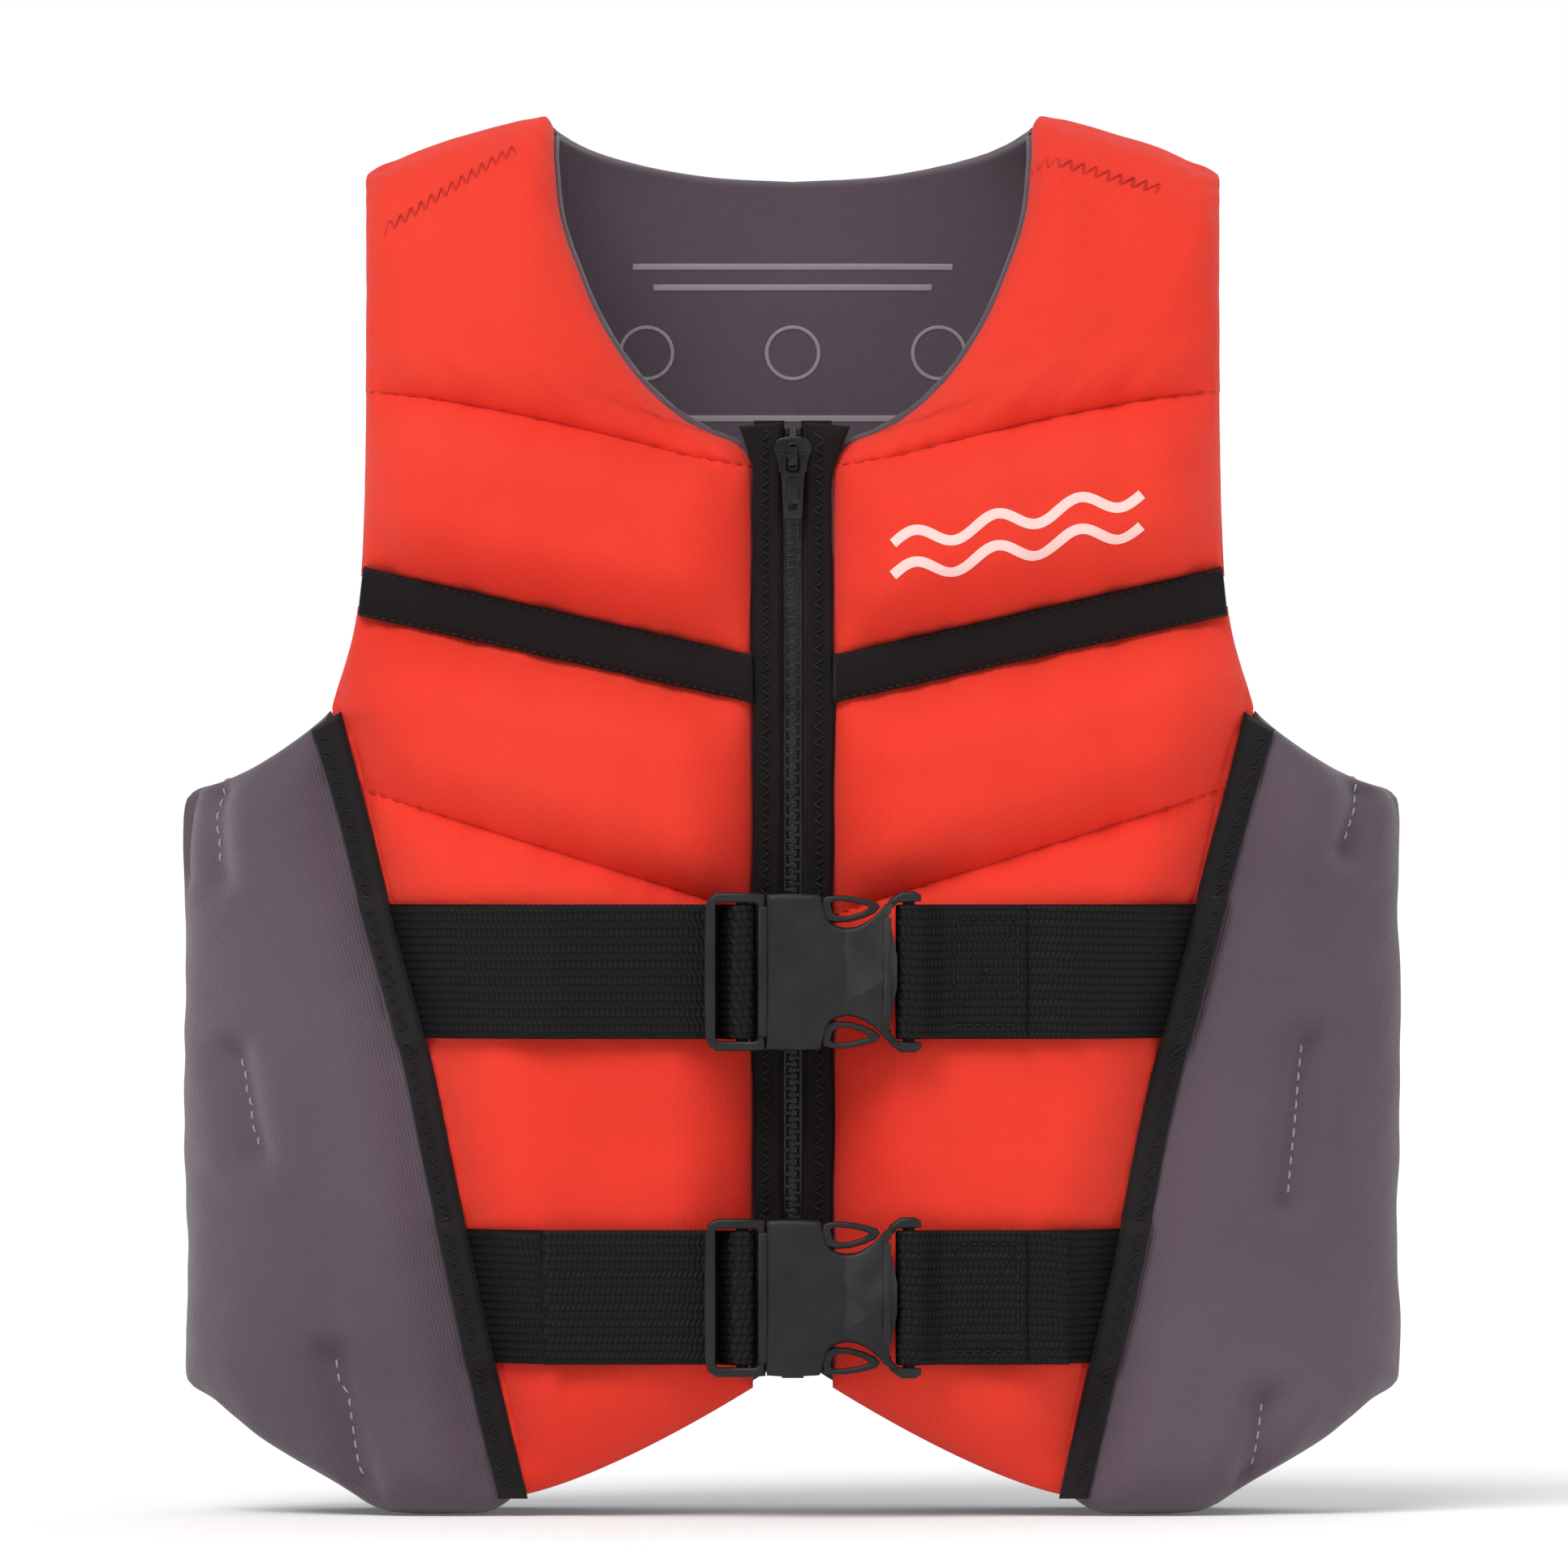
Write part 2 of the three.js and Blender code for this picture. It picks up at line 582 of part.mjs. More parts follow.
/** One side trim: a tape over the seam between a side panel and the front or the back. */
function sideTrim({ name, sign }, face) {
  const onFront = face === "front";
  const travel = (z) => (onFront ? z : backTravel(0, z));
  const cells = TRIM_STEPS_Z.slice(1).map((high, k) => {
    const ends = [TRIM_STEPS_Z[k], high];
    return {
      inner: toSide(sign, ends.map((z) => [trimX(z) - TRIM_WIDTH / 2, travel(z)])),
      outer: toSide(sign, ends.map((z) => [trimX(z) + TRIM_WIDTH / 2, travel(z)])),
    };
  });
  const rows = chain(...cells.map((_, k) => flatStops(k, 1)));
  rows.forEach((row, k) => { row.full = onFront ? strapLift(TRIM_STEPS_Z[k]) : 0; });
  const bottom = EDGE_THICKNESS + CLEARANCE;
  const tape = blanket(new RuledPatch(cells), flatStops(0, 2), rows,
    (rise, lift) => bottom + lift, (rise, lift) => bottom + lift + TRIM_THICKNESS);
  return piece(`${name}_${face}_side_trim`, tape, BLACK_NEOPRENE);
}

// ---------------------------------------------------------------- back

/** The edge of the back on one side between two heights. */
function backEdge(sign, from, to, steps) {
  const points = [];
  for (let k = 0; k <= steps; k += 1) {
    const z = THREE.MathUtils.lerp(from, to, k / steps);
    points.push([outerX(z), backTravel(outerX(z), z)]);
  }
  return toSide(sign, points);
}

const NECK_ROW_TRAVEL = backTravel(0, BACK_NECK_Z);

/** The back from the hem to the row through the middle of its neckline. */
function backPatch() {
  const levels = [HEM_Z, ...BACK_STITCHES];
  const cells = levels.slice(1).map((high, k) => ({
    inner: backEdge(-1, levels[k], high, EDGE_STEPS),
    outer: backEdge(1, levels[k], high, EDGE_STEPS),
  }));
  const top = BACK_STITCHES[BACK_STITCHES.length - 1];
  const corner = [outerX(top), backTravel(outerX(top), top)];
  cells.push({
    inner: toSide(-1, [corner, [ARM_HALF_WIDTH, NECK_ROW_TRAVEL]]),
    outer: toSide(1, [corner, [ARM_HALF_WIDTH, NECK_ROW_TRAVEL]]),
  });
  return new RuledPatch(cells, (x) => HEM_Z - hemZ(x));
}

/** The back's piece over one shoulder, from the shoulder seam down to the back's neck row. */
function shoulderPatch(sign) {
  const seam = frontTravel(NECK_HALF_WIDTH, SHOULDER_SEAM.inner);
  const peak = SPRING_Z + ARCH_TRAVEL / 2;
  const neck = [
    [NECK_HALF_WIDTH, seam], [NECK_HALF_WIDTH + 1, peak],
    ...BACK_NECK_POINTS.slice().reverse().map(([x, z]) => [x, backTravel(x, z)]),
    [26, NECK_ROW_TRAVEL - 1.5], [2, NECK_ROW_TRAVEL + SHOULDER_OVERLAP],
  ];
  const arm = [
    [ARM_HALF_WIDTH, frontTravel(ARM_HALF_WIDTH, SHOULDER_SEAM.outer)],
    [ARM_HALF_WIDTH, NECK_ROW_TRAVEL + SHOULDER_OVERLAP],
  ];
  return new RuledPatch([{ inner: toSide(sign, neck), outer: toSide(sign, arm) }]);
}

/** The back's outer shell, foams and lining. */
function backPanel() {
  const patch = backPatch();
  const columns = padStops(0, TRIM_MARGIN, TRIM_MARGIN, CROWN_RUN, 5);
  const padded = BACK_STITCHES.map((_, k) => padStops(k, EDGE_MARGIN, EDGE_MARGIN, CROWN_RUN, 1, BACK_PAD));
  const rows = chain(...padded, flatStops(BACK_STITCHES.length, 3));
  const shoulderColumns = flatStops(0, 4);
  const shoulderRows = flatStops(0, 14);
  const shoulders = SIDES.map(({ sign }) => shoulderPatch(sign));
  let outer = shell(patch, columns, rows, BACK_STITCHES.map((_, k) => [0, k]));
  let inner = lining(patch, columns, rows);
  shoulders.forEach((shoulder) => {
    outer = outer.add(blanket(shoulder, shoulderColumns, shoulderRows, () => 0, () => EDGE_THICKNESS));
    inner = inner.add(lining(shoulder, shoulderColumns, shoulderRows));
  });
  const foams = ["lower", "middle", "upper"].map((level, k) => (
    piece(`back_${level}_foam`, foam(patch, columns, rows, [0, k]), FOAM)
  ));
  return [piece("back_shell", outer, RED_NEOPRENE), piece("back_lining", inner, GREY_NEOPRENE), ...foams];
}

// ---------------------------------------------------------------- zip

/** A box whose depth is given as heights off the core at the zip. */
function zipBlock(x0, x1, low, high, z0, z1) {
  return block(x0, x1, -CORE_HALF_DEPTH - high, -CORE_HALF_DEPTH - low, z0, z1);
}

/** The black facing down one side of the zip. */
function zipFacing({ name, sign }) {
  const flareStart = STITCH_HIGH.inner - CLEARANCE;
  const patch = new RuledPatch([
    {
      inner: toSide(sign, [[FACING_INNER, hemZ(FACING_INNER)], [FACING_INNER, flareStart]]),
      outer: toSide(sign, [[FACING_EDGE, hemZ(FACING_EDGE)], [FACING_EDGE, flareStart]]),
    },
    {
      inner: toSide(sign, [[FACING_INNER, flareStart], [FACING_INNER, FACING_TOP_Z]]),
      outer: toSide(sign, [[FACING_EDGE, flareStart], [FACING_EDGE + FACING_FLARE, NECK_POINTS[0][1]]]),
    },
  ]);
  const cloth = blanket(patch, flatStops(0, 1), chain(flatStops(0, 6), flatStops(1, 1)),
    () => FACING_LOW, () => FACING_LOW + FACING_THICKNESS);
  return piece(`${name}_zip_facing`, cloth, BLACK_NEOPRENE);
}

/** The tape that one row of teeth is moulded on. */
function zipTape({ name, sign }) {
  const edges = [sign * TAPE.inner, sign * FACING_EDGE].sort((a, b) => a - b);
  return piece(`${name}_zip_tape`, zipBlock(...edges, TAPE.low, TAPE.high, TAPE.bottom, TAPE.top), ZIP_TAPE);
}

/** One row of teeth on its spine. */
function zipTeeth({ name, sign }) {
  const stagger = sign > 0 ? TOOTH_PITCH / 2 : 0;
  const points = [[SPINE.outer, TEETH_BOTTOM_Z], [SPINE.outer, TEETH_TOP_Z], [SPINE.inner, TEETH_TOP_Z]];
  const teeth = Math.floor((TEETH_TOP_Z - TEETH_BOTTOM_Z - stagger - TOOTH_HEIGHT) / TOOTH_PITCH);
  for (let k = teeth; k >= 0; k -= 1) {
    const z = TEETH_BOTTOM_Z + stagger + k * TOOTH_PITCH + CLEARANCE;
    points.push([SPINE.inner, z + TOOTH_HEIGHT], [-TOOTH_CROSSING, z + TOOTH_HEIGHT]);
    points.push([-TOOTH_CROSSING, z], [SPINE.inner, z]);
  }
  points.push([SPINE.inner, TEETH_BOTTOM_Z]);
  const row = plate(toSide(sign, points), CORE_HALF_DEPTH + CHAIN.low, CORE_HALF_DEPTH + CHAIN.high);
  return piece(`${name}_zip_teeth`, row, ZIP_PLASTIC);
}

/** The block at the top of one row of teeth that stops the slider. */
function topStop({ name, sign }) {
  const edges = [sign * STOP.inner, sign * SPINE.outer].sort((a, b) => a - b);
  const body = zipBlock(...edges, CHAIN.low, CHAIN.high, STOP.bottom, STOP.bottom + STOP.height);
  return piece(`${name}_top_stop`, body, ZIP_PLASTIC);
}

/** The slider: two plates on a post, with flanges at the back and a bridge for the pull tab. */
function zipSlider() {
  const { bottom, shoulder, top, footHalf, halfWidth, topHalf, front, back } = SLIDER;
  const frontFace = front + SLIDER.plate;
  const right = [[footHalf, bottom], [halfWidth, shoulder], [topHalf, top]];
  const outline = [...right, ...toSide(-1, right).reverse()];
  let body = plate(outline, CORE_HALF_DEPTH + front, CORE_HALF_DEPTH + frontFace);
  body = body.add(plate(outline, CORE_HALF_DEPTH + back - SLIDER.plate, CORE_HALF_DEPTH + back));
  SIDES.forEach(({ sign }) => {
    const edges = [sign * (footHalf - SLIDER_FLANGE.width), sign * footHalf].sort((a, b) => a - b);
    body = body.add(zipBlock(...edges, back - WELD, back + SLIDER_FLANGE.rise, bottom, shoulder));
  });
  body = body.add(zipBlock(-SLIDER_POST.halfWidth, SLIDER_POST.halfWidth, back - WELD, front + WELD,
    SLIDER_POST.bottom, top));
  body = body.add(zipBlock(-BRIDGE.halfWidth, BRIDGE.halfWidth, frontFace - WELD, frontFace + BRIDGE.rise,
    BRIDGE.bottom, BRIDGE.top));
  body = body.subtract(zipBlock(-halfWidth, halfWidth, frontFace, frontFace + BRIDGE.rise - BRIDGE.roof,
    BRIDGE.bottom + BRIDGE.foot, BRIDGE.top - BRIDGE.foot));
  return piece("zip_slider", body, ZIP_PLASTIC);
}

/** The pull tab, hanging from a bar through the slider's bridge. */
function pullTab() {
  const middle = CORE_HALF_DEPTH + TAB_AXIS_RISE;
  const near = middle - TAB.thickness / 2;
  const far = middle + TAB.thickness / 2;
  const eyeBottom = TAB_AXIS_Z - TAB.eye;
  const right = [[TAB.halfBottom, TAB.bottom], [TAB.halfTop, eyeBottom], [TAB.halfTop, TAB_AXIS_Z + TAB.above]];
  let body = plate([...right, ...toSide(-1, right).reverse()], near, far);
  const cut = (half, low, high) => block(-half, half, -far - 1, -near + 1, low, high);
  body = body.subtract(cut(TAB.eyeHalf, eyeBottom, TAB_AXIS_Z + TAB.eye));
  const hole = TAB.bottom + TAB_HOLE.rise;
  body = body.subtract(cut(TAB_HOLE.half, hole, hole + 2 * TAB_HOLE.half));
  const bar = new THREE.CylinderGeometry(TAB.bar, TAB.bar, 2 * TAB.halfTop - WELD, 16);
  bar.rotateZ(Math.PI / 2);
  bar.translate(0, -middle, TAB_AXIS_Z);
  return piece("pull_tab", body.add(solid(bar)), ZIP_PLASTIC);
}

/** The retainer box at the foot of the zip, and the pin that sits in it. */
function zipFoot() {
  const slot = { inner: SPINE.outer - PIN.width - CLEARANCE, outer: SPINE.outer + CLEARANCE };
  const body = zipBlock(-BOX.halfWidth, BOX.halfWidth, BOX.low, BOX.high, BOX.bottom, BOX.top);
  const cut = zipBlock(slot.inner, slot.outer, CHAIN.low, CHAIN.high, PIN.bottom - CLEARANCE, BOX.top + 1);
  const pin = zipBlock(SPINE.outer - PIN.width, SPINE.outer, CHAIN.low + CLEARANCE, CHAIN.high - CLEARANCE,
    PIN.bottom, PIN.top);
  return [piece("retainer_box", body.subtract(cut), ZIP_PLASTIC), piece("insertion_pin", pin, ZIP_PLASTIC)];
}

// ---------------------------------------------------------------- straps

/** A strip of webbing through stations: each gives the (x, level) of its centre line at a height. */
function strip(stations, z) {
  const last = stations.length - 1;
  const geometry = new THREE.BoxGeometry(1, 1, 1, last, 1, 1);
  const position = geometry.attributes.position;
  for (let k = 0; k < position.count; k += 1) {
    const i = Math.round((position.getX(k) + 0.5) * last);
    const height = z + position.getY(k) * WEBBING_WIDTH;
    const here = stations[i](height);
    const before = stations[Math.max(0, i - 1)](height);
    const after = stations[Math.min(last, i + 1)](height);
    const into = here.clone().sub(before).normalize();
    const out = after.clone().sub(here).normalize();
    if (i === 0) into.copy(out);
    if (i === last) out.copy(into);
    const way = into.clone().add(out).normalize();
    const offset = (position.getZ(k) * WEBBING_THICKNESS) / Math.max(MITRE_LIMIT, way.dot(out));
    position.setXYZ(k, here.x - way.y * offset, -(here.y + way.x * offset), height);
  }
  return solid(geometry);
}

/** Stations of a strap's end: from under the side trim, up over the pad's crown. */
function anchorStations(sign) {
  const under = EDGE_THICKNESS + CLEARANCE + WEBBING_THICKNESS / 2;
  const start = TRIM_MARGIN - 0.9;
  const step = (FRONT_PAD - EDGE_THICKNESS) * CROWN_STEP_RISE;
  const course = [
    [-ANCHOR_BURIED, under], [start, under], [start + 1.3, under + 3], [start + 3.7, under + step],
    [start + 7.6, under + step + 3.4], [TRIM_MARGIN + CROWN_RUN, FRONT_PAD + under - EDGE_THICKNESS + 1],
  ];
  return course.map(([inset, height]) => (z) => {
    const x = trimX(z) - inset;
    const point = place(x, z, height);
    return new THREE.Vector2(sign * point.x, -point.y);
  });
}

/** A station at a fixed place: x, and a level in front of the pads' crowns. */
function levelStation(x, level) {
  return () => new THREE.Vector2(x, CROWN_DEPTH + level);
}

/** The course of the webbing on the right: round the adjuster's middle bar and back as a tail. */
function adjustingCourse() {
  const over = MIDDLE_BAR.high + CLEARANCE + WEBBING_THICKNESS / 2 + WEBBING_SLACK;
  const up = (LADDER.window + MIDDLE_BAR.from) / 2;
  const down = (MIDDLE_BAR.to + CROSS_BAR.from) / 2;
  return [
    [-58, STANDING_LEVEL], [LADDER.window + 0.3, STANDING_LEVEL], [up - 0.9, 4.9], [up + 0.5, 7],
    [up + 1.5, over - 0.6], [MIDDLE_BAR.from + 0.2, over], [MIDDLE_BAR.to - 0.3, over],
    [down - 0.4, over - 0.4], [down, over - 1.6], [down, 3.6], [down - 0.7, 1.9], [down - 2.6, TAIL_LEVEL],
    [-40, TAIL_LEVEL], [-TAIL_END, TAIL_LEVEL],
  ];
}

/** The course of the webbing on the left: round the socket's end bar, and sewn back on itself. */
function fixedCourse() {
  const { from, to, low, high } = END_BAR;
  const behind = low - CLEARANCE - WEBBING_THICKNESS / 2 - WEBBING_SLACK;
  const over = high + CLEARANCE + WEBBING_THICKNESS / 2 + WEBBING_SLACK;
  const up = from - CLEARANCE - WEBBING_THICKNESS / 2 - 0.25;
  return [
    [LOOP_END, TAIL_LEVEL], [44, TAIL_LEVEL], [39, 2.6], [to + 0.6, behind], [from + 0.2, behind],
    [up + 0.2, behind + 0.8], [up, (behind + over) / 2], [up + 0.2, over - 0.8], [from + 0.2, over],
    [to - 0.2, over], [to + 2.1, over - 1.2], [40, 5.2], [45, STANDING_LEVEL], [LOOP_END, STANDING_LEVEL],
  ];
}

/** The two webbings of one strap. */
function straps({ name, z }) {
  const right = [...anchorStations(-1), ...adjustingCourse().map((spot) => levelStation(...spot))];
  const left = [...anchorStations(1), ...fixedCourse().map((spot) => levelStation(...spot))];
  return [
    piece(`right_${name}_webbing`, strip(right, z), WEBBING),
    piece(`left_${name}_webbing`, strip(left, z), WEBBING),
  ];
}

// ---------------------------------------------------------------- buckles

/** A block of a buckle: x, level in front of the crowns, and height from the buckle's middle. */
function plasticBlock(z, x0, x1, low, high, z0, z1) {
  return block(x0, x1, -CROWN_DEPTH - high, -CROWN_DEPTH - low, z + z0, z + z1);
}

/** A plate of a buckle, from half an outline that is mirrored about the buckle's middle. */
function plasticPlate(z, half, low, high) {
  const outline = [...half, ...half.map(([x, rise]) => [x, -rise]).reverse()];
  return plate(outline.map(([x, rise]) => [x, z + rise]), CROWN_DEPTH + low, CROWN_DEPTH + high);
}

/** The socket half: a hollow body with side windows, and a flared tail with an end bar. */
function buckleSocket({ name, z }) {
  const { mouth, cavityEnd, wall, tail, armEnd } = SOCKET;
  const { halfHeight, back, front } = PLASTIC;
  const outline = [
    [mouth, halfHeight - 0.6], [2, halfHeight - 0.4], [7.8, halfHeight - 0.6], [8.4, 17], [10.5, 13.6],
    [15, 12.4], [20, 13.6], [24, 16.6], [27.5, 20.6], [30.5, halfHeight + 0.3], [armEnd, halfHeight + 0.3],
    [armEnd, 19.6], [tail, 19.6], [tail - 1.6, 15], [tail, 4],
  ];
  let body = plasticPlate(z, outline, back, front);
  const half = halfHeight - 0.6 - wall;
  body = body.subtract(plasticBlock(z, mouth - 1, cavityEnd, CAVITY.low, CAVITY.high, -half, half));
  const arm = halfHeight + 0.4;
  body = body.subtract(plasticBlock(z, tail + 0.2, armEnd + 1, END_BAR.high + 2, front + 1, -arm, arm));
  body = body.add(plasticBlock(z, END_BAR.from, END_BAR.to, END_BAR.low, END_BAR.high, -20, 20));
  return piece(`${name}_buckle_socket`, body, BUCKLE_PLASTIC);
}

/** The plug half: a ladder-lock frame, a base plate and a guide tongue. */
function bucklePlug({ name, z }) {
  const { outer, window, end, rail } = LADDER;
  const { back, halfHeight } = PLASTIC;
  const inside = halfHeight - rail;
  const outline = [[outer, 6], [outer + 1.2, halfHeight - 2], [outer + 3, halfHeight], [end, halfHeight - 0.4]];
  let body = plasticPlate(z, outline, back, LADDER.front);
  body = body.subtract(plasticBlock(z, window, end + 1, back - 1, LADDER.front + 1, -inside, inside));
  const { from, to, low, high } = MIDDLE_BAR;
  body = body.add(plasticBlock(z, from, to, low, high, -inside - 1, inside + 1));
  body = body.add(plasticBlock(z, CROSS_BAR.from, end, back, CROSS_BAR.high, -inside - 1, inside + 1));
  const plateLow = CAVITY.low + CLEARANCE;
  const plateHigh = CAVITY.high - CLEARANCE;
  body = body.add(plasticBlock(z, CROSS_BAR.from, BASE.end, plateLow, plateHigh, -BASE.half, BASE.half));
  body = body.add(plasticBlock(z, BASE.end - 1, TONGUE.end, plateLow, plateHigh, -TONGUE.half, TONGUE.half));
  return piece(`${name}_buckle_plug`, body, BUCKLE_PLASTIC);
}

/** One sprung prong of the plug, with the looped ear that is squeezed. */
function buckleProng({ name, z }, level, sign) {
  const { start, tip, low, high } = PRONG_EAR;
  const points = [
    [PRONG_ROOT_X, PRONG_ARM.low], [start, PRONG_ARM.low - 0.6], [start + 4, low], [tip - 4.6, low + 1.2],
    [tip, low + 4.4], [tip - 3.4, high - 1.6], [start + 6, high], [start, high - 0.4], [start, PRONG_ARM.high],
    [PRONG_ROOT_X, PRONG_ARM.high],
  ];
  const hole = [
    [start + 2.2, high - 2.4], [start + 4.4, low + 1.9], [tip - 5.4, low + 3], [tip - 3, low + 4.5],
    [tip - 5.6, high - 2.8],
  ];
  const mirrored = (list) => list.map(([x, rise]) => [x, z + sign * rise]);
  const near = CROWN_DEPTH + CAVITY.low + CLEARANCE;
  const far = CROWN_DEPTH + CAVITY.high - CLEARANCE;
  const body = plate(mirrored(points), near, far).subtract(plate(mirrored(hole), near - 1, far + 1));
  return piece(`${name}_buckle_${level}_prong`, body, BUCKLE_PLASTIC);
}

/** All the plastic of one buckle. */
function buckle(spec) {
  return [buckleSocket(spec), bucklePlug(spec), buckleProng(spec, "top", 1), buckleProng(spec, "bottom", -1)];
}

// ---------------------------------------------------------------- the vest

const vest = new THREE.Group();
vest.position.y = (CROWN_DEPTH + PLASTIC.front - CORE_HALF_DEPTH - BACK_PAD) / 2;
SIDES.forEach((side) => {
  vest.add(...frontHalf(side), ...sidePanel(side), sideTrim(side, "front"), sideTrim(side, "back"));
  vest.add(zipFacing(side), zipTape(side), zipTeeth(side), topStop(side));
});
vest.add(...backPanel());
vest.add(zipSlider(), pullTab(), ...zipFoot());
BUCKLES.forEach((spec) => vest.add(...straps(spec), ...buckle(spec)));

export default vest;
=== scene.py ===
"""Looks for a child's zip-front flotation vest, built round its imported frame.

Lengths are in millimetres while a shape is worked out, and in metres once it is a mesh.
+Z is up, the front faces -Y and +X is the wearer's left.
"""

from __future__ import annotations

import logging
import math
from dataclasses import dataclass, field
from enum import Enum
from typing import Callable, Iterable, Sequence

import bmesh
import bpy
import numpy as np
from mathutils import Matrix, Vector

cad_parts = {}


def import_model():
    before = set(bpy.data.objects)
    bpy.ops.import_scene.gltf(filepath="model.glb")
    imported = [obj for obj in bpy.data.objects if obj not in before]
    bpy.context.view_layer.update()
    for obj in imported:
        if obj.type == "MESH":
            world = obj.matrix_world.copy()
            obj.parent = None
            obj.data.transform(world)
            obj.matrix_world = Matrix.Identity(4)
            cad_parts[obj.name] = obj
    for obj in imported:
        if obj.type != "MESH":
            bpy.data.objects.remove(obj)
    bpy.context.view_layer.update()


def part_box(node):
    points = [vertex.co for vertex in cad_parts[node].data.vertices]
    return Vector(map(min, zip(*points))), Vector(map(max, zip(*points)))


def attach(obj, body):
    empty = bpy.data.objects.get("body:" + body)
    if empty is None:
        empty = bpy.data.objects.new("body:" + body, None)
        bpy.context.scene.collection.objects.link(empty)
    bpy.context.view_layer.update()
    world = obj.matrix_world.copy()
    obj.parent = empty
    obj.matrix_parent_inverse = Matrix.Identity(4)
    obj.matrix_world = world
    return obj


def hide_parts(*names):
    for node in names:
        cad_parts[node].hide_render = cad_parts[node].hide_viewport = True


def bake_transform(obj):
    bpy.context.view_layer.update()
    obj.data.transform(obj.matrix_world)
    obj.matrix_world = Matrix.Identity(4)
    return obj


LOG = logging.getLogger("vest")
MM = 0.001
BODY = "vest"
ROUND = 2 * math.pi
TAPE_TO_MIDDLE = 38.6

Object, Material, Socket = bpy.types.Object, bpy.types.Material, bpy.types.NodeSocket
Solid = tuple[np.ndarray, list, np.ndarray]  # points, faces and each point's place on the cloth
Outline = Sequence[tuple[float, float]]  # corners, as (x, z)


class Side(Enum):
    """A side of the wearer, with the sign of X there."""

    RIGHT = -1
    LEFT = 1

    @property
    def word(self) -> str:
        """The side's name as pieces and nodes use it."""
        return self.name.lower()


class Strap(Enum):
    """The two straps, with the height of their middles."""

    UPPER = 154.0
    LOWER = 62.0

    @property
    def word(self) -> str:
        """The strap's name as pieces and nodes use it."""
        return self.name.lower()


class Edge(Enum):
    """How the cloth ends at an edge of a cell, as the places of the rows next to it."""

    ROLLED = (0.0, 0.12, 0.45, 1.0, 1.8, 2.8)
    STITCHED = (0.0, 0.45, 1.0, 1.9, 3.1)
    PLAIN = (0.0,)


# ---------------------------------------------------------------- the body's surface


@dataclass(frozen=True)
class Core:
    """The surface that pads stand on and linings lie behind.

    Attributes:
        middle_y: Y of the plane halfway between front and back.
    """

    middle_y: float
    half_width: float = 163.0
    half_depth: float = 38.0
    squareness: float = 2.5
    spring: float = 300.0
    crest: float = 401.0
    fall: float = 25.0
    arm_half: float = 121.0
    arch_travel: float = 200.0

    @property
    def whole(self) -> float:
        """Travel from the floor up the front, over the shoulder and down the back."""
        return 2 * self.spring + self.arch_travel

    def depth(self, x: np.ndarray) -> np.ndarray:
        """Distance from the middle plane to the front at a distance across."""
        share = np.minimum(np.abs(x / self.half_width) ** self.squareness, 1 - 1e-9)
        return self.half_depth * (1 - share) ** (1 / self.squareness)

    def arch(self, x: np.ndarray) -> np.ndarray:
        """Height of the shoulder arch above its spring at a distance across."""
        return self.crest - self.spring - self.fall * (x / self.arm_half) ** 2

    def front(self, x: np.ndarray, z: np.ndarray) -> np.ndarray:
        """The travel up the front that reaches a height."""
        share = np.clip((z - self.spring) / self.arch(x), 0, 1)
        return np.where(z <= self.spring, z, self.spring + np.arcsin(share) / math.pi * self.arch_travel)

    def back(self, x: np.ndarray, z: np.ndarray) -> np.ndarray:
        """The travel over the shoulder and down the back that reaches a height."""
        return self.whole - self.front(x, z)

    def place(self, x: np.ndarray, travel: np.ndarray, height: np.ndarray | float) -> np.ndarray:
        """Points at a distance across, a travel over the body and a height off the surface.

        Args:
            x: Distance across, towards the wearer's left.
            travel: Distance up the front, over the shoulder and down the back.
            height: Distance off the surface.

        Returns:
            An array of points, with the coordinates last.
        """
        turn = np.clip((travel - self.spring) / self.arch_travel, 0, 1) * math.pi
        past = self.spring + self.arch_travel
        drop = np.minimum(0, np.minimum(travel - self.spring, past - travel))
        depth, rise = self.depth(x), self.arch(x)
        step = 0.01
        tilt = (self.depth(x + step) - self.depth(x - step)) / (2 * step) / depth
        lean = (self.arch(x + step) - self.arch(x - step)) / (2 * step) / rise
        cosine, sine = np.cos(turn), np.sin(turn)
        normal = np.stack([-(cosine**2 * tilt + sine**2 * lean), -cosine / depth, sine / rise], -1)
        normal /= np.linalg.norm(normal, axis=-1, keepdims=True)
        base = np.stack([x, -depth * cosine, self.spring + rise * sine + drop], -1)
        lift = np.broadcast_to(np.asarray(height, float), np.shape(x))[..., None]
        return base + normal * lift + (0, self.middle_y, 0)

    def angle(self, x: np.ndarray) -> np.ndarray:
        """Angle round the body from the middle of the front, at a distance across."""
        return np.arcsin(np.clip(x / self.half_width, 0, 1) ** (self.squareness / 2))

    def across(self, angle: np.ndarray) -> np.ndarray:
        """Distance across at an angle round the body."""
        return self.half_width * np.sin(angle) ** (2 / self.squareness)

    def place_round(self, side: Side, angle: np.ndarray, z: np.ndarray, height: np.ndarray) -> np.ndarray:
        """Points at an angle round one side, a height up and a height off the surface.

        Args:
            side: The wearer's side.
            angle: Angle from the middle of the front, up to pi at the middle of the back.
            z: Height up.
            height: Distance off the surface.

        Returns:
            An array of points, with the coordinates last.
        """
        x, cosine = self.across(angle), np.cos(angle)
        y = -self.half_depth * np.sign(cosine) * np.abs(cosine) ** (2 / self.squareness)
        power = self.squareness - 1
        normal = np.stack([
            (x / self.half_width) ** power / self.half_width,
            np.sign(y) * np.abs(y / self.half_depth) ** power / self.half_depth,
            np.zeros_like(x),
        ], -1)
        normal /= np.linalg.norm(normal, axis=-1, keepdims=True)
        point = np.stack([x, y, z], -1) + normal * np.asarray(height)[..., None]
        return point * (side.value, 1, 1) + (0, self.middle_y, 0)


# ---------------------------------------------------------------- lines and seams


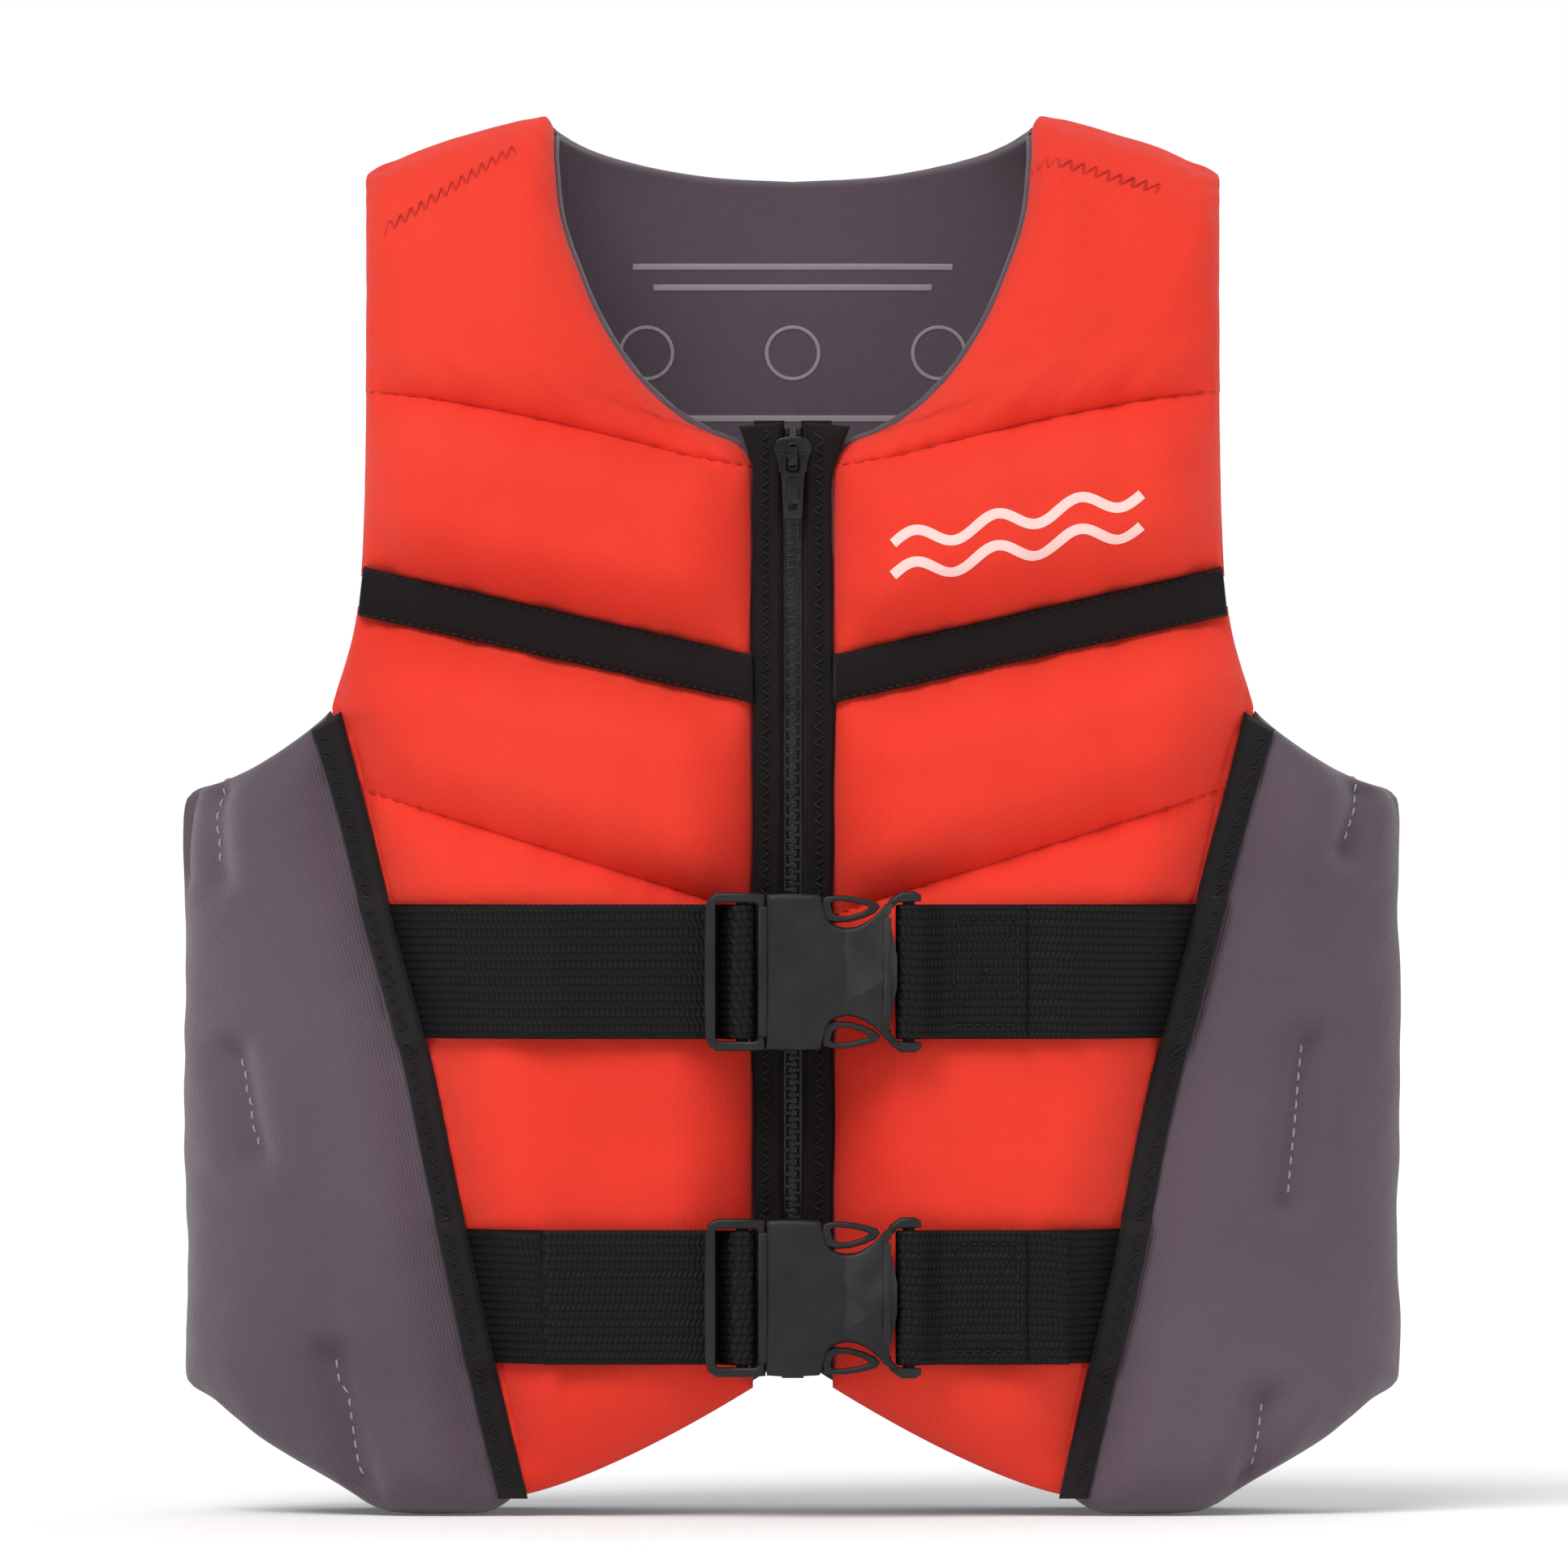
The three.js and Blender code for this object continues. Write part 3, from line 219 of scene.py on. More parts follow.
class Line:
    """A line through points in a plane, measured along its length."""

    def __init__(self, points: Sequence[Sequence[float]], curved: bool = True) -> None:
        """Lays the line.

        Args:
            points: The points that it passes through.
            curved: Whether it turns smoothly at them.
        """
        spots = np.array(points, float)
        self.points = smooth(spots) if curved and len(spots) > 2 else spots
        steps = np.linalg.norm(np.diff(self.points, axis=0), axis=1)
        self.marks = np.concatenate([[0], np.cumsum(steps)])

    @property
    def length(self) -> float:
        """The line's length."""
        return float(self.marks[-1])

    def at(self, share: np.ndarray) -> np.ndarray:
        """The points at shares of the length."""
        spots = np.asarray(share) * self.length
        return np.stack([np.interp(spots, self.marks, column) for column in self.points.T], -1)


def smooth(points: np.ndarray, steps: int = 12) -> np.ndarray:
    """A smooth curve through points.

    Args:
        points: The points, in order.
        steps: Points on each stretch between two of them.

    Returns:
        The points of the curve.
    """
    ends = np.vstack([2 * points[0] - points[1], points, 2 * points[-1] - points[-2]])
    share = np.linspace(0, 1, steps, endpoint=False)[:, None]
    curve = []
    for a, b, c, d in zip(ends, ends[1:], ends[2:], ends[3:]):
        curve.append(0.5 * (2 * b + (c - a) * share + (2 * a - 5 * b + 4 * c - d) * share**2
                            + (3 * b - a - 3 * c + d) * share**3))
    return np.vstack([*curve, points[-1:]])


@dataclass(frozen=True)
class Pattern:
    """Where the vest's seams run, as (x, z) on the wearer's left."""

    hem: float = 5.0
    hem_arch: float = 38.0
    hem_power: float = 1.35
    hem_half: float = 79.0
    panel_inner: float = 11.3
    facing_inner: float = 3.5
    facing_outer: float = 11.0
    facing_flare: float = 4.5
    facing_top: float = 306.0
    trim: tuple = ((79, 5), (91, 57), (105, 124), (119.5, 181), (131, 228))
    arm: tuple = ((131, 228), (124, 254), (121.7, 285), (121, 340), (121, 401))
    stitch_low: tuple = (170, 207)
    band_low: tuple = (230, 255)
    band_height: float = 13.5
    stitch_high: tuple = (297, 318)
    neck: tuple = ((11.3, 297), (16, 303.5), (29, 309), (43, 321), (54, 337), (61, 353), (66, 368), (68, 386))
    shoulder: float = 407.0
    neck_half: float = 68.0
    back_stitches: tuple = (118, 232, 322)
    back_wing_z: float = 391.0
    back_neck: tuple = ((69, 396), (66, 391.5), (52, 385.5), (26, 380.5), (0, 379))
    side_hem: tuple = ((79, 5), (86, 0.6), (96, 0), (108, 0), (118, 1.5), (130, 9), (150, 21), (163, 33))
    side_arm: tuple = ((131, 228), (136, 224), (152, 213), (163, 207))
    armpit: float = 228.0

    def trim_x(self, z: np.ndarray) -> np.ndarray:
        """Distance across to the middle of the side trim at a height."""
        spots = Line(self.trim).points
        return np.interp(z, spots[:, 1], spots[:, 0])

    def outer_x(self, z: np.ndarray) -> np.ndarray:
        """Distance across to a panel's outer edge: the side seam, and the armhole above it."""
        spots = Line(self.arm).points
        return np.where(z < self.armpit, self.trim_x(z) - 0.2, np.interp(z, spots[:, 1], spots[:, 0]))

    def band(self) -> tuple[tuple[float, float], tuple[float, float]]:
        """Heights of the chest band's lower and upper edges, each at the zip and at the arm."""
        low, high = self.band_low
        return (low, high), (low + self.band_height, high + self.band_height)

    def hem_z(self, x: np.ndarray) -> np.ndarray:
        """Height of the hem at a distance across, between the side seams."""
        share = np.clip(1 - np.abs(x) / self.hem_half, 0, 1)
        return self.hem + self.hem_arch * share**self.hem_power


# ---------------------------------------------------------------- cloth as a grid


def stations(length: float, step: float, start: Edge, end: Edge) -> np.ndarray:
    """Where the rows of a grid lie along a length, closer together near its ends.

    Args:
        length: The length.
        step: The usual distance between rows.
        start: How the cloth ends at the start.
        end: How the cloth ends at the end.

    Returns:
        Shares of the length, from 0 to 1.
    """
    head, tail = np.array(start.value), np.array(end.value)
    count = max(2, round((length - head[-1] - tail[-1]) / step))
    middle = np.linspace(head[-1], length - tail[-1], count + 1)[1:-1]
    return np.concatenate([head, middle, length - tail[::-1]]) / length


def spans(points: np.ndarray, axis: int) -> np.ndarray:
    """Distances along one axis of a grid of points, from its first row.

    Args:
        points: The grid, with the coordinates last.
        axis: The axis to go along.

    Returns:
        The distance at each point.
    """
    steps = np.linalg.norm(np.diff(points, axis=axis), axis=-1)
    zero = np.zeros_like(np.take(steps, [0], axis=axis))
    return np.concatenate([zero, np.cumsum(steps, axis=axis)], axis=axis)


def crown(distance: np.ndarray, margin: float, run: float) -> np.ndarray:
    """Share of a pad's full height at a distance from its seam."""
    return np.sin(np.clip((distance - margin) / run, 0, 1) * math.pi / 2) ** 0.85


def roll(distance: np.ndarray, radius: float) -> np.ndarray:
    """Share of the cloth's thickness at a distance from a rounded edge."""
    share = np.clip(distance / radius, 0, 1)
    return np.sqrt(1 - (1 - share) ** 2)


def gap(points: np.ndarray, line: np.ndarray) -> np.ndarray:
    """Distance of each point from the nearest place on a line.

    Args:
        points: The points, in any grid.
        line: The line's own points.

    Returns:
        The distances, in the same grid.
    """
    flat, start, run = points.reshape(-1, 3), line[:-1], np.diff(line, axis=0)
    size = np.maximum((run**2).sum(-1), 1e-12)
    found = []
    for part in np.array_split(flat, max(1, len(flat) // 4000)):
        reach = part[:, None] - start
        share = np.clip((reach * run).sum(-1) / size, 0, 1)
        found.append(np.linalg.norm(reach - share[..., None] * run, axis=-1).min(1))
    return np.concatenate(found).reshape(points.shape[:-1])


def least(*distances: np.ndarray) -> np.ndarray:
    """The shortest of several distances at each point."""
    return np.minimum.reduce(distances)


def pucker(distance: np.ndarray, along: np.ndarray, wave: float, depth: float, reach: float) -> np.ndarray:
    """Small gathers that fade away from a line of stitches.

    Args:
        distance: Distance from the stitches.
        along: Distance along them.
        wave: Length of one gather.
        depth: Depth of a gather at the stitches.
        reach: How far the gathers run.

    Returns:
        A height for each point.
    """
    drift = np.sin(along / wave * 1.7 + 1.3) * 1.2 + np.sin(along / wave * 0.61) * 1.9
    return -depth * np.exp(-distance / reach) * (0.5 + 0.5 * np.sin(ROUND * along / wave + drift))


def ripple(points: np.ndarray, wave: float, seed: int) -> np.ndarray:
    """A smooth random wave from -1 to 1.

    Args:
        points: Where it is wanted.
        wave: The usual length of a wave.
        seed: Picks the wave.

    Returns:
        The wave's height at each point.
    """
    random = np.random.default_rng(seed)
    total = np.zeros(points.shape[:-1])
    for _ in range(7):
        way = random.normal(size=3)
        way /= np.linalg.norm(way)
        turns = points @ way / (wave * random.uniform(0.6, 1.7))
        total += np.sin(ROUND * (turns + random.uniform()))
    return total / 4.5


@dataclass
class Cell:
    """One stretch of a panel, between a seam below it and a seam above it.

    Attributes:
        inner: The edge nearer the middle, as (x, travel).
        outer: The edge further out, as (x, travel).
        full: Height of its pad.
        start: How the cloth ends below.
        end: How the cloth ends above.
    """

    inner: Line
    outer: Line
    full: float
    start: Edge = Edge.STITCHED
    end: Edge = Edge.STITCHED


@dataclass
class Trace:
    """A line on the outside of some cloth, with the direction off the cloth at each point."""

    points: np.ndarray
    normals: np.ndarray

    def evenly(self, step: float) -> "Trace":
        """The same line with points at even steps.

        Args:
            step: The usual distance between points.

        Returns:
            The line.
        """
        marks = spans(self.points, 0)
        even = np.linspace(0, marks[-1], max(2, round(marks[-1] / step) + 1))
        return self._sample(marks, even)

    def _sample(self, marks: np.ndarray, spots: np.ndarray) -> "Trace":
        """The line at distances along it."""
        pick = lambda grid: np.stack([np.interp(spots, marks, column) for column in grid.T], -1)
        return Trace(pick(self.points), pick(self.normals))

    def dashes(self, stitch: float, pitch: float) -> tuple["Trace", "Trace"]:
        """Where the stitches of a running seam start and end.

        Args:
            stitch: Length of a stitch.
            pitch: Distance from the start of one to the start of the next.

        Returns:
            The starts and the ends.
        """
        marks = spans(self.points, 0)
        starts = np.arange(0.3, marks[-1] - stitch, pitch)
        return self._sample(marks, starts), self._sample(marks, starts + stitch)

    def lifted(self, lift: float) -> "Trace":
        """The line at a distance off the cloth."""
        return Trace(self.points + self.normals * lift, self.normals)


class Sheet:
    """A grid of points on a piece of cloth, with the distances along it."""

    def __init__(self, points: np.ndarray) -> None:
        """Measures the grid.

        Args:
            points: Rows of points, with the coordinates last.
        """
        self.base = points
        self.points = points
        self.across = spans(points, 1)
        self.up = spans(points, 0)

    def normals(self) -> np.ndarray:
        """The direction off the outside at each point.

        Returns:
            The directions, in the same grid.
        """
        normal = np.cross(np.gradient(self.points, axis=1), np.gradient(self.points, axis=0))
        normal /= np.maximum(np.linalg.norm(normal, axis=-1, keepdims=True), 1e-9)
        outward = self.points - self.base
        turn = np.sum(normal * outward)
        return normal * (np.sign(turn) if abs(turn) > 1e-6 else 1.0)

    def trace(self, row: np.ndarray, column: np.ndarray) -> Trace:
        """The outside at fractional rows and columns.

        Args:
            row: Places among the rows.
            column: Places among the columns.

        Returns:
            The points there, with the directions off the cloth.
        """
        rows, columns = self.points.shape[:2]
        row, column = np.broadcast_arrays(np.asarray(row, float), np.asarray(column, float))
        row, column = np.clip(row, 0, rows - 1.001), np.clip(column, 0, columns - 1.001)
        r, c = row.astype(int), column.astype(int)
        a, b = (row - r)[..., None], (column - c)[..., None]
        blend = lambda grid: ((grid[r, c] * (1 - b) + grid[r, c + 1] * b) * (1 - a)
                              + (grid[r + 1, c] * (1 - b) + grid[r + 1, c + 1] * b) * a)
        return Trace(blend(self.points), blend(self.normals()))

    def along_row(self, distance: float, from_end: bool = False, seam: int | None = None) -> Trace:
        """A line across the cloth at a distance from its first row, its last row or a seam.

        Args:
            distance: How far from that row.
            from_end: Whether it is the last row.
            seam: The row of the seam, if it is one.

        Returns:
            The line.
        """
        columns = np.arange(self.points.shape[1])
        rows = np.arange(self.points.shape[0])
        start = self.up[-1] - distance if from_end else self.up[0 if seam is None else seam] + distance
        row = np.array([np.interp(start[c], self.up[:, c], rows) for c in columns])
        return self.trace(row, columns)

    def along_column(self, distance: float, from_end: bool = False) -> Trace:
        """A line up the cloth at a distance from its first or last column.

        Args:
            distance: How far from that column.
            from_end: Whether it is the last column.

        Returns:
            The line.
        """
        rows = np.arange(self.points.shape[0])
        columns = np.arange(self.points.shape[1])
        start = self.across[:, -1] - distance if from_end else self.across[:, 0] + distance
        column = np.array([np.interp(start[r], self.across[r], columns) for r in rows])
        return self.trace(rows, column)

    def borders(self) -> dict[str, np.ndarray]:
        """Distance of each point from each border of the unraised cloth."""
        edges = {"low": self.base[0], "high": self.base[-1], "first": self.base[:, 0], "last": self.base[:, -1]}
        return {name: gap(self.base, line) for name, line in edges.items()}


class Panel(Sheet):
    """A sheet whose points are places on the body: a distance across and a travel."""

    def __init__(self, core: Core, x: np.ndarray, travel: np.ndarray, level: float = 0.0) -> None:
        """Lays the panel.

        Args:
            core: The body's surface.
            x: Distance across of each point.
            travel: Travel over the body of each point.
            level: Height off the surface that its distances are measured at.
        """
        self.core, self.x, self.travel = core, x, travel
        self.full = np.zeros((x.shape[0], 1))
        self.seams: list[int] = []
        super().__init__(core.place(x, travel, level))

    @classmethod
    def ruled(cls, core: Core, side: Side, cells: Sequence[Cell], columns: np.ndarray, step: float,
              hem: Callable[[np.ndarray], np.ndarray] | None = None) -> "Panel":
        """Rules a panel between the inner and outer edges of its cells.

        Args:
            core: The body's surface.
            side: The wearer's side.
            cells: The cells, from the bottom up.
            columns: Shares of the way across for the columns.
            step: The usual distance between rows.
            hem: Travel of the bottom edge at a distance across, where it isn't straight.

        Returns:
            The panel.
        """
        grids, full, seams = [], [], [0]
        for k, cell in enumerate(cells):
            shares = stations((cell.inner.length + cell.outer.length) / 2, step, cell.start, cell.end)
            inner, outer = cell.inner.at(shares), cell.outer.at(shares)
            grid = inner[:, None] + (outer - inner)[:, None] * columns[None, :, None]
            if hem and k == 0:
                offset = hem(grid[0, :, 0]) - grid[0, :, 1]
                grid[..., 1] += offset[None] * ((1 - shares) ** 2)[:, None]
            grid = grid[1:] if k else grid
            grids.append(grid)
            full += [cell.full] * len(grid)
            seams.append(len(full) - 1)
        points = np.vstack(grids)
        panel = cls(core, points[..., 0] * side.value, points[..., 1])
        panel.full, panel.seams = np.array(full)[:, None], seams
        return panel

    def raise_to(self, height: np.ndarray | float) -> None:
        """Lifts the outside to a height off the body's surface."""
        self.points = self.core.place(self.x, self.travel, height)

    def locate(self, x: np.ndarray, travel: np.ndarray) -> Trace:
        """The outside at places on the body.

        Args:
            x: Distances across.
            travel: Travels over the body.

        Returns:
            The points there, with the directions off the cloth.
        """
        rows, columns = np.arange(self.x.shape[0]), np.arange(self.x.shape[1])
        order = 1 if self.x[0, -1] > self.x[0, 0] else -1
        climb = 1 if self.travel[-1, 0] > self.travel[0, 0] else -1
        found = []
        for across, up in zip(np.ravel(x), np.ravel(travel)):
            heights = [np.interp(across, xs[::order], ts[::order]) for xs, ts in zip(self.x, self.travel)]
            row = np.interp(up, heights[::climb], rows[::climb])
            found.append((row, np.interp(across, self.x[int(round(row))][::order], columns[::order])))
        row, column = np.array(found).T
        return self.trace(row, column)


# ---------------------------------------------------------------- meshes


def make(name: str, vertices: np.ndarray, faces: Iterable[Sequence[int]], uv: np.ndarray | None = None,
         sharp: float = 40.0) -> Object:
    """Makes an object from points in millimetres.

    Args:
        name: The piece's name.
        vertices: Its points.
        faces: Its faces, as indices of points.
        uv: A place on the cloth for each point, in metres.
        sharp: Angle in degrees from which an edge is sharp.

    Returns:
        The object, linked to the scene.
    """
    mesh = bpy.data.meshes.new(name)
    mesh.from_pydata((np.asarray(vertices, float) * MM).tolist(), [], [list(face) for face in faces])
    if uv is not None:
        layer = mesh.uv_layers.new(name="cloth")
        loops = np.zeros(len(mesh.loops), int)
        mesh.loops.foreach_get("vertex_index", loops)
        layer.data.foreach_set("uv", (uv[loops] * MM).astype(np.float32).ravel())
    tidy = bmesh.new()
    tidy.from_mesh(mesh)
    bmesh.ops.remove_doubles(tidy, verts=tidy.verts, dist=0.004 * MM)
    bmesh.ops.recalc_face_normals(tidy, faces=tidy.faces)
    tidy.to_mesh(mesh)
    tidy.free()
    mesh.polygons.foreach_set("use_smooth", [True] * len(mesh.polygons))
    mesh.set_sharp_from_angle(angle=math.radians(sharp))
    piece = bpy.data.objects.new(name, mesh)
    bpy.context.scene.collection.objects.link(piece)
    return piece


@dataclass
class Blanket:
    """A closed body between a fine outer grid and a coarse inner one.

    Attributes:
        outer: Points of the outside.
        inner: Points of the inside, at the same rows and columns.
        skip: Rows and columns of the outside for each one of the inside.
    """

    outer: np.ndarray
    inner: np.ndarray
    skip: int = 3

    def _shared(self, row: int, column: int) -> bool:
        """Whether the inside meets the outside at a row and column."""
        rows, columns = self.outer.shape[:2]
        return row in (0, rows - 1) or column in (0, columns - 1)

    def build(self) -> Solid:
        """Makes the points, the faces and the places on the cloth.

        Returns:
            Points, faces and places on the cloth.
        """
        rows, columns = self.outer.shape[:2]
        fine = np.arange(rows * columns).reshape(rows, columns)
        down = sorted({*range(0, rows, self.skip), rows - 1})
        over = sorted({*range(0, columns, self.skip), columns - 1})
        place = np.stack([spans(self.outer, 1), spans(self.outer, 0)], -1)
        points, places = [self.outer.reshape(-1, 3)], [place.reshape(-1, 2)]
        index, extra = {}, 0
        for r in down:
            for c in over:
                if self._shared(r, c):
                    index[r, c] = int(fine[r, c])
                    continue
                index[r, c] = rows * columns + extra
                extra += 1
                points.append(self.inner[r, c][None])
                places.append(place[r, c][None])
        a, b, c, d = fine[:-1, :-1], fine[:-1, 1:], fine[1:, 1:], fine[1:, :-1]
        faces = np.stack([a, b, c, d], -1).reshape(-1, 4).tolist()
        for r0, r1 in zip(down, down[1:]):
            for c0, c1 in zip(over, over[1:]):
                faces.append(self._inner_face(fine, index, (r0, r1), (c0, c1)))
        return np.vstack(points), faces, np.vstack(places)

    def _inner_face(self, fine: np.ndarray, index: dict, rows: tuple, columns: tuple) -> list[int]:
        """One face of the inside, with the outside's points where they share an edge.

        Args:
            fine: Indices of the outside's points.
            index: Index of each point of the inside, by row and column.
            rows: The two rows that it lies between.
            columns: The two columns that it lies between.

        Returns:
            The face, as indices of points.
        """
        (r0, r1), (c0, c1) = rows, columns
        last_row, last_column = fine.shape[0] - 1, fine.shape[1] - 1
        ring = [index[r0, c0]]
        if r0 == 0:
            ring += [int(v) for v in fine[0, c0 + 1:c1]]
        ring.append(index[r0, c1])
        if c1 == last_column:
            ring += [int(v) for v in fine[r0 + 1:r1, last_column]]
        ring.append(index[r1, c1])
        if r1 == last_row:
            ring += [int(v) for v in fine[last_row, c0 + 1:c1][::-1]]
        ring.append(index[r1, c0])
        if c0 == 0:
            ring += [int(v) for v in fine[r0 + 1:r1, 0][::-1]]
        return ring[::-1]


def joined(parts: Sequence[Solid]) -> Solid:
    """Puts several bodies into one list of points and faces.

    Args:
        parts: Points, faces and places on the cloth of each.

    Returns:
        The points, faces and places of them all.
    """
    points, faces, places, count = [], [], [], 0
    for vertices, polygons, uv in parts:
        points.append(vertices)
        places.append(uv)
        faces += [[v + count for v in polygon] for polygon in polygons]
        count += len(vertices)
    return np.vstack(points), faces, np.vstack(places)


def blanket(name: str, outer: np.ndarray, inner: np.ndarray, skip: int = 3) -> Object:
    """Makes one closed cloth body."""
    return make(name, *Blanket(outer, inner, skip=skip).build())


# ---------------------------------------------------------------- thread, print and plates


@dataclass(frozen=True)
class Tube:
    """Short round lengths that lie on cloth, such as stitches.

    Attributes:
        radius: Half the thickness of the thread.
        sides: Sides round it.
    """

    radius: float = 0.32
    sides: int = 6

    def build(self, starts: Trace, ends: Trace) -> Solid:
        """Makes a length of thread between each start and its end.

        Args:
            starts: Where the lengths leave the cloth.
            ends: Where they go back in.

        Returns:
            Points, faces and places on the cloth.
        """
        run = ends.points - starts.points
        up = starts.normals + ends.normals
        up /= np.linalg.norm(up, axis=-1, keepdims=True)
        way = run / np.maximum(np.linalg.norm(run, axis=-1, keepdims=True), 1e-9)
        over = np.cross(way, up)
        over /= np.maximum(np.linalg.norm(over, axis=-1, keepdims=True), 1e-9)
        turns = np.arange(self.sides) / self.sides * ROUND
        rings = []
        arch = ((0, 0.55, -0.9), (0.16, 1, 0.25), (0.5, 1.05, 0.55), (0.84, 1, 0.25), (1, 0.55, -0.9))
        for share, swell, lift in arch:
            middle = starts.points + run * share + up * (lift * self.radius)
            ring = [middle + (over * math.cos(t) + up * math.sin(t)) * self.radius * swell for t in turns]
            rings.append(np.stack(ring, 1))
        grid = np.stack(rings, 1)
        count, levels, sides = grid.shape[:3]
        fine = np.arange(count * levels * sides).reshape(count, levels, sides)
        turned = np.roll(fine, -1, axis=2)
        quads = np.stack([fine[:, :-1], turned[:, :-1], turned[:, 1:], fine[:, 1:]], -1).reshape(-1, 4)
        faces = quads.tolist() + fine[:, 0, ::-1].tolist() + fine[:, -1].tolist()
        points = grid.reshape(-1, 3)
        return points, faces, np.zeros((len(points), 2))

    def running(self, trace: Trace, stitch: float, pitch: float) -> Solid:
        """A seam of running stitches along a line."""
        return self.build(*trace.dashes(stitch, pitch))

    def zigzag(self, first: Trace, second: Trace, period: float) -> Solid:
        """A zigzag between two lines.

        Args:
            first: One line.
            second: The line beside it.
            period: Distance from one point of the zigzag to the next on its side.

        Returns:
            Points, faces and places on the cloth.
        """
        one, two = first.evenly(period), second.evenly(period)
        count = min(len(one.points), len(two.points)) - 1
        between = Trace((two.points[:-1] + two.points[1:]) / 2, two.normals[:-1])
        there = self.build(Trace(one.points[:count], one.normals[:count]),
                           Trace(between.points[:count], between.normals[:count]))
        back = self.build(Trace(between.points[:count], between.normals[:count]),
                          Trace(one.points[1:count + 1], one.normals[1:count + 1]))
        return joined([there, back])


def ribbon(trace: Trace, width: float, thickness: float) -> Solid:
    """A flat printed or bound line that lies on cloth.

    Args:
        trace: Its middle.
        width: Its width.
        thickness: How proud it stands.

    Returns:
        Points, faces and places on the cloth.
    """
    way = np.gradient(trace.points, axis=0)
    over = np.cross(way, trace.normals)
    over /= np.maximum(np.linalg.norm(over, axis=-1, keepdims=True), 1e-9)
    rows = []
    for across, lift in ((-0.5, -0.6), (-0.46, 0.7), (-0.3, 1), (0.3, 1), (0.46, 0.7), (0.5, -0.6)):
        rows.append(trace.points + over * width * across + trace.normals * thickness * lift)
    outer = np.stack(rows)
    inner = outer - trace.normals[None] * thickness * 1.2
    return Blanket(outer, inner, skip=1).build()


@dataclass(frozen=True)
class Plate:
    """A flat moulding with rounded edges, which faces the front.

    Attributes:
        loops: Its outline, and then its holes, as (x, z).
        near: Level of its back.
        far: Level of its front.
        bevel: Radius of its edges.
    """

    loops: tuple
    near: float
    far: float
    bevel: float = 0.5

    def build(self, level: float) -> Solid:
        """Makes the plate.

        Args:
            level: Y that the levels are measured from, towards the front.

        Returns:
            Points, faces and places on the cloth.
        """
        curve = bpy.data.curves.new("outline", "CURVE")
        curve.dimensions, curve.fill_mode = "2D", "BOTH"
        half = (self.far - self.near) / 2
        bevel = min(self.bevel, half * 0.98)
        curve.extrude, curve.bevel_depth, curve.offset = half - bevel, bevel, -bevel
        curve.bevel_resolution = 2
        for loop in self.loops:
            spots = np.array([(x, z, 0.0, 1.0) for x, z in loop])
            spline = curve.splines.new("POLY")
            spline.points.add(len(spots) - 1)
            spline.points.foreach_set("co", spots.ravel())
            spline.use_cyclic_u = True
        holder = bpy.data.objects.new("outline", curve)
        bpy.context.scene.collection.objects.link(holder)
        mesh = holder.to_mesh()
        flat = np.zeros(len(mesh.vertices) * 3)
        mesh.vertices.foreach_get("co", flat)
        flat = flat.reshape(-1, 3)
        faces = [list(polygon.vertices) for polygon in mesh.polygons]
        holder.to_mesh_clear()
        bpy.data.objects.remove(holder)
        bpy.data.curves.remove(curve)
        depth = flat[:, 2] + (self.near + self.far) / 2
        points = np.stack([flat[:, 0], level - depth, flat[:, 1]], -1)
        return points, faces, points[:, [0, 2]]


def bar(x0: float, x1: float, near: float, far: float, z0: float, z1: float, bevel: float = 0.5) -> Plate:
    """A rounded bar between two places across, two levels and two heights."""
    return Plate((((x0, z0), (x1, z0), (x1, z1), (x0, z1)),), near, far, bevel)


def mirrored(points: Outline, across: bool = False) -> Outline:
    """Half an outline and its mirror image: below the first axis, or on its other side."""
    twin = [(-x, z) if across else (x, -z) for x, z in points][::-1]
    return [*points, *twin]


def shifted(points: Outline, x: float, z: float) -> Outline:
    """An outline moved across and up."""
    return [(px + x, pz + z) for px, pz in points]


def moulding(name: str, plates: Sequence[Plate], level: float) -> Object:
    """Makes one piece of several plates."""
    return make(name, *joined([plate.build(level) for plate in plates]), sharp=35)


# ---------------------------------------------------------------- finishes


def paint(red: float, green: float, blue: float) -> tuple[float, float, float, float]:
    """A screen colour, 0 to 255, as the shader's linear colour."""
    linear = [c / 255 / 12.92 if c < 10.3 else ((c / 255 + 0.055) / 1.055) ** 2.4 for c in (red, green, blue)]
    return (*linear, 1.0)


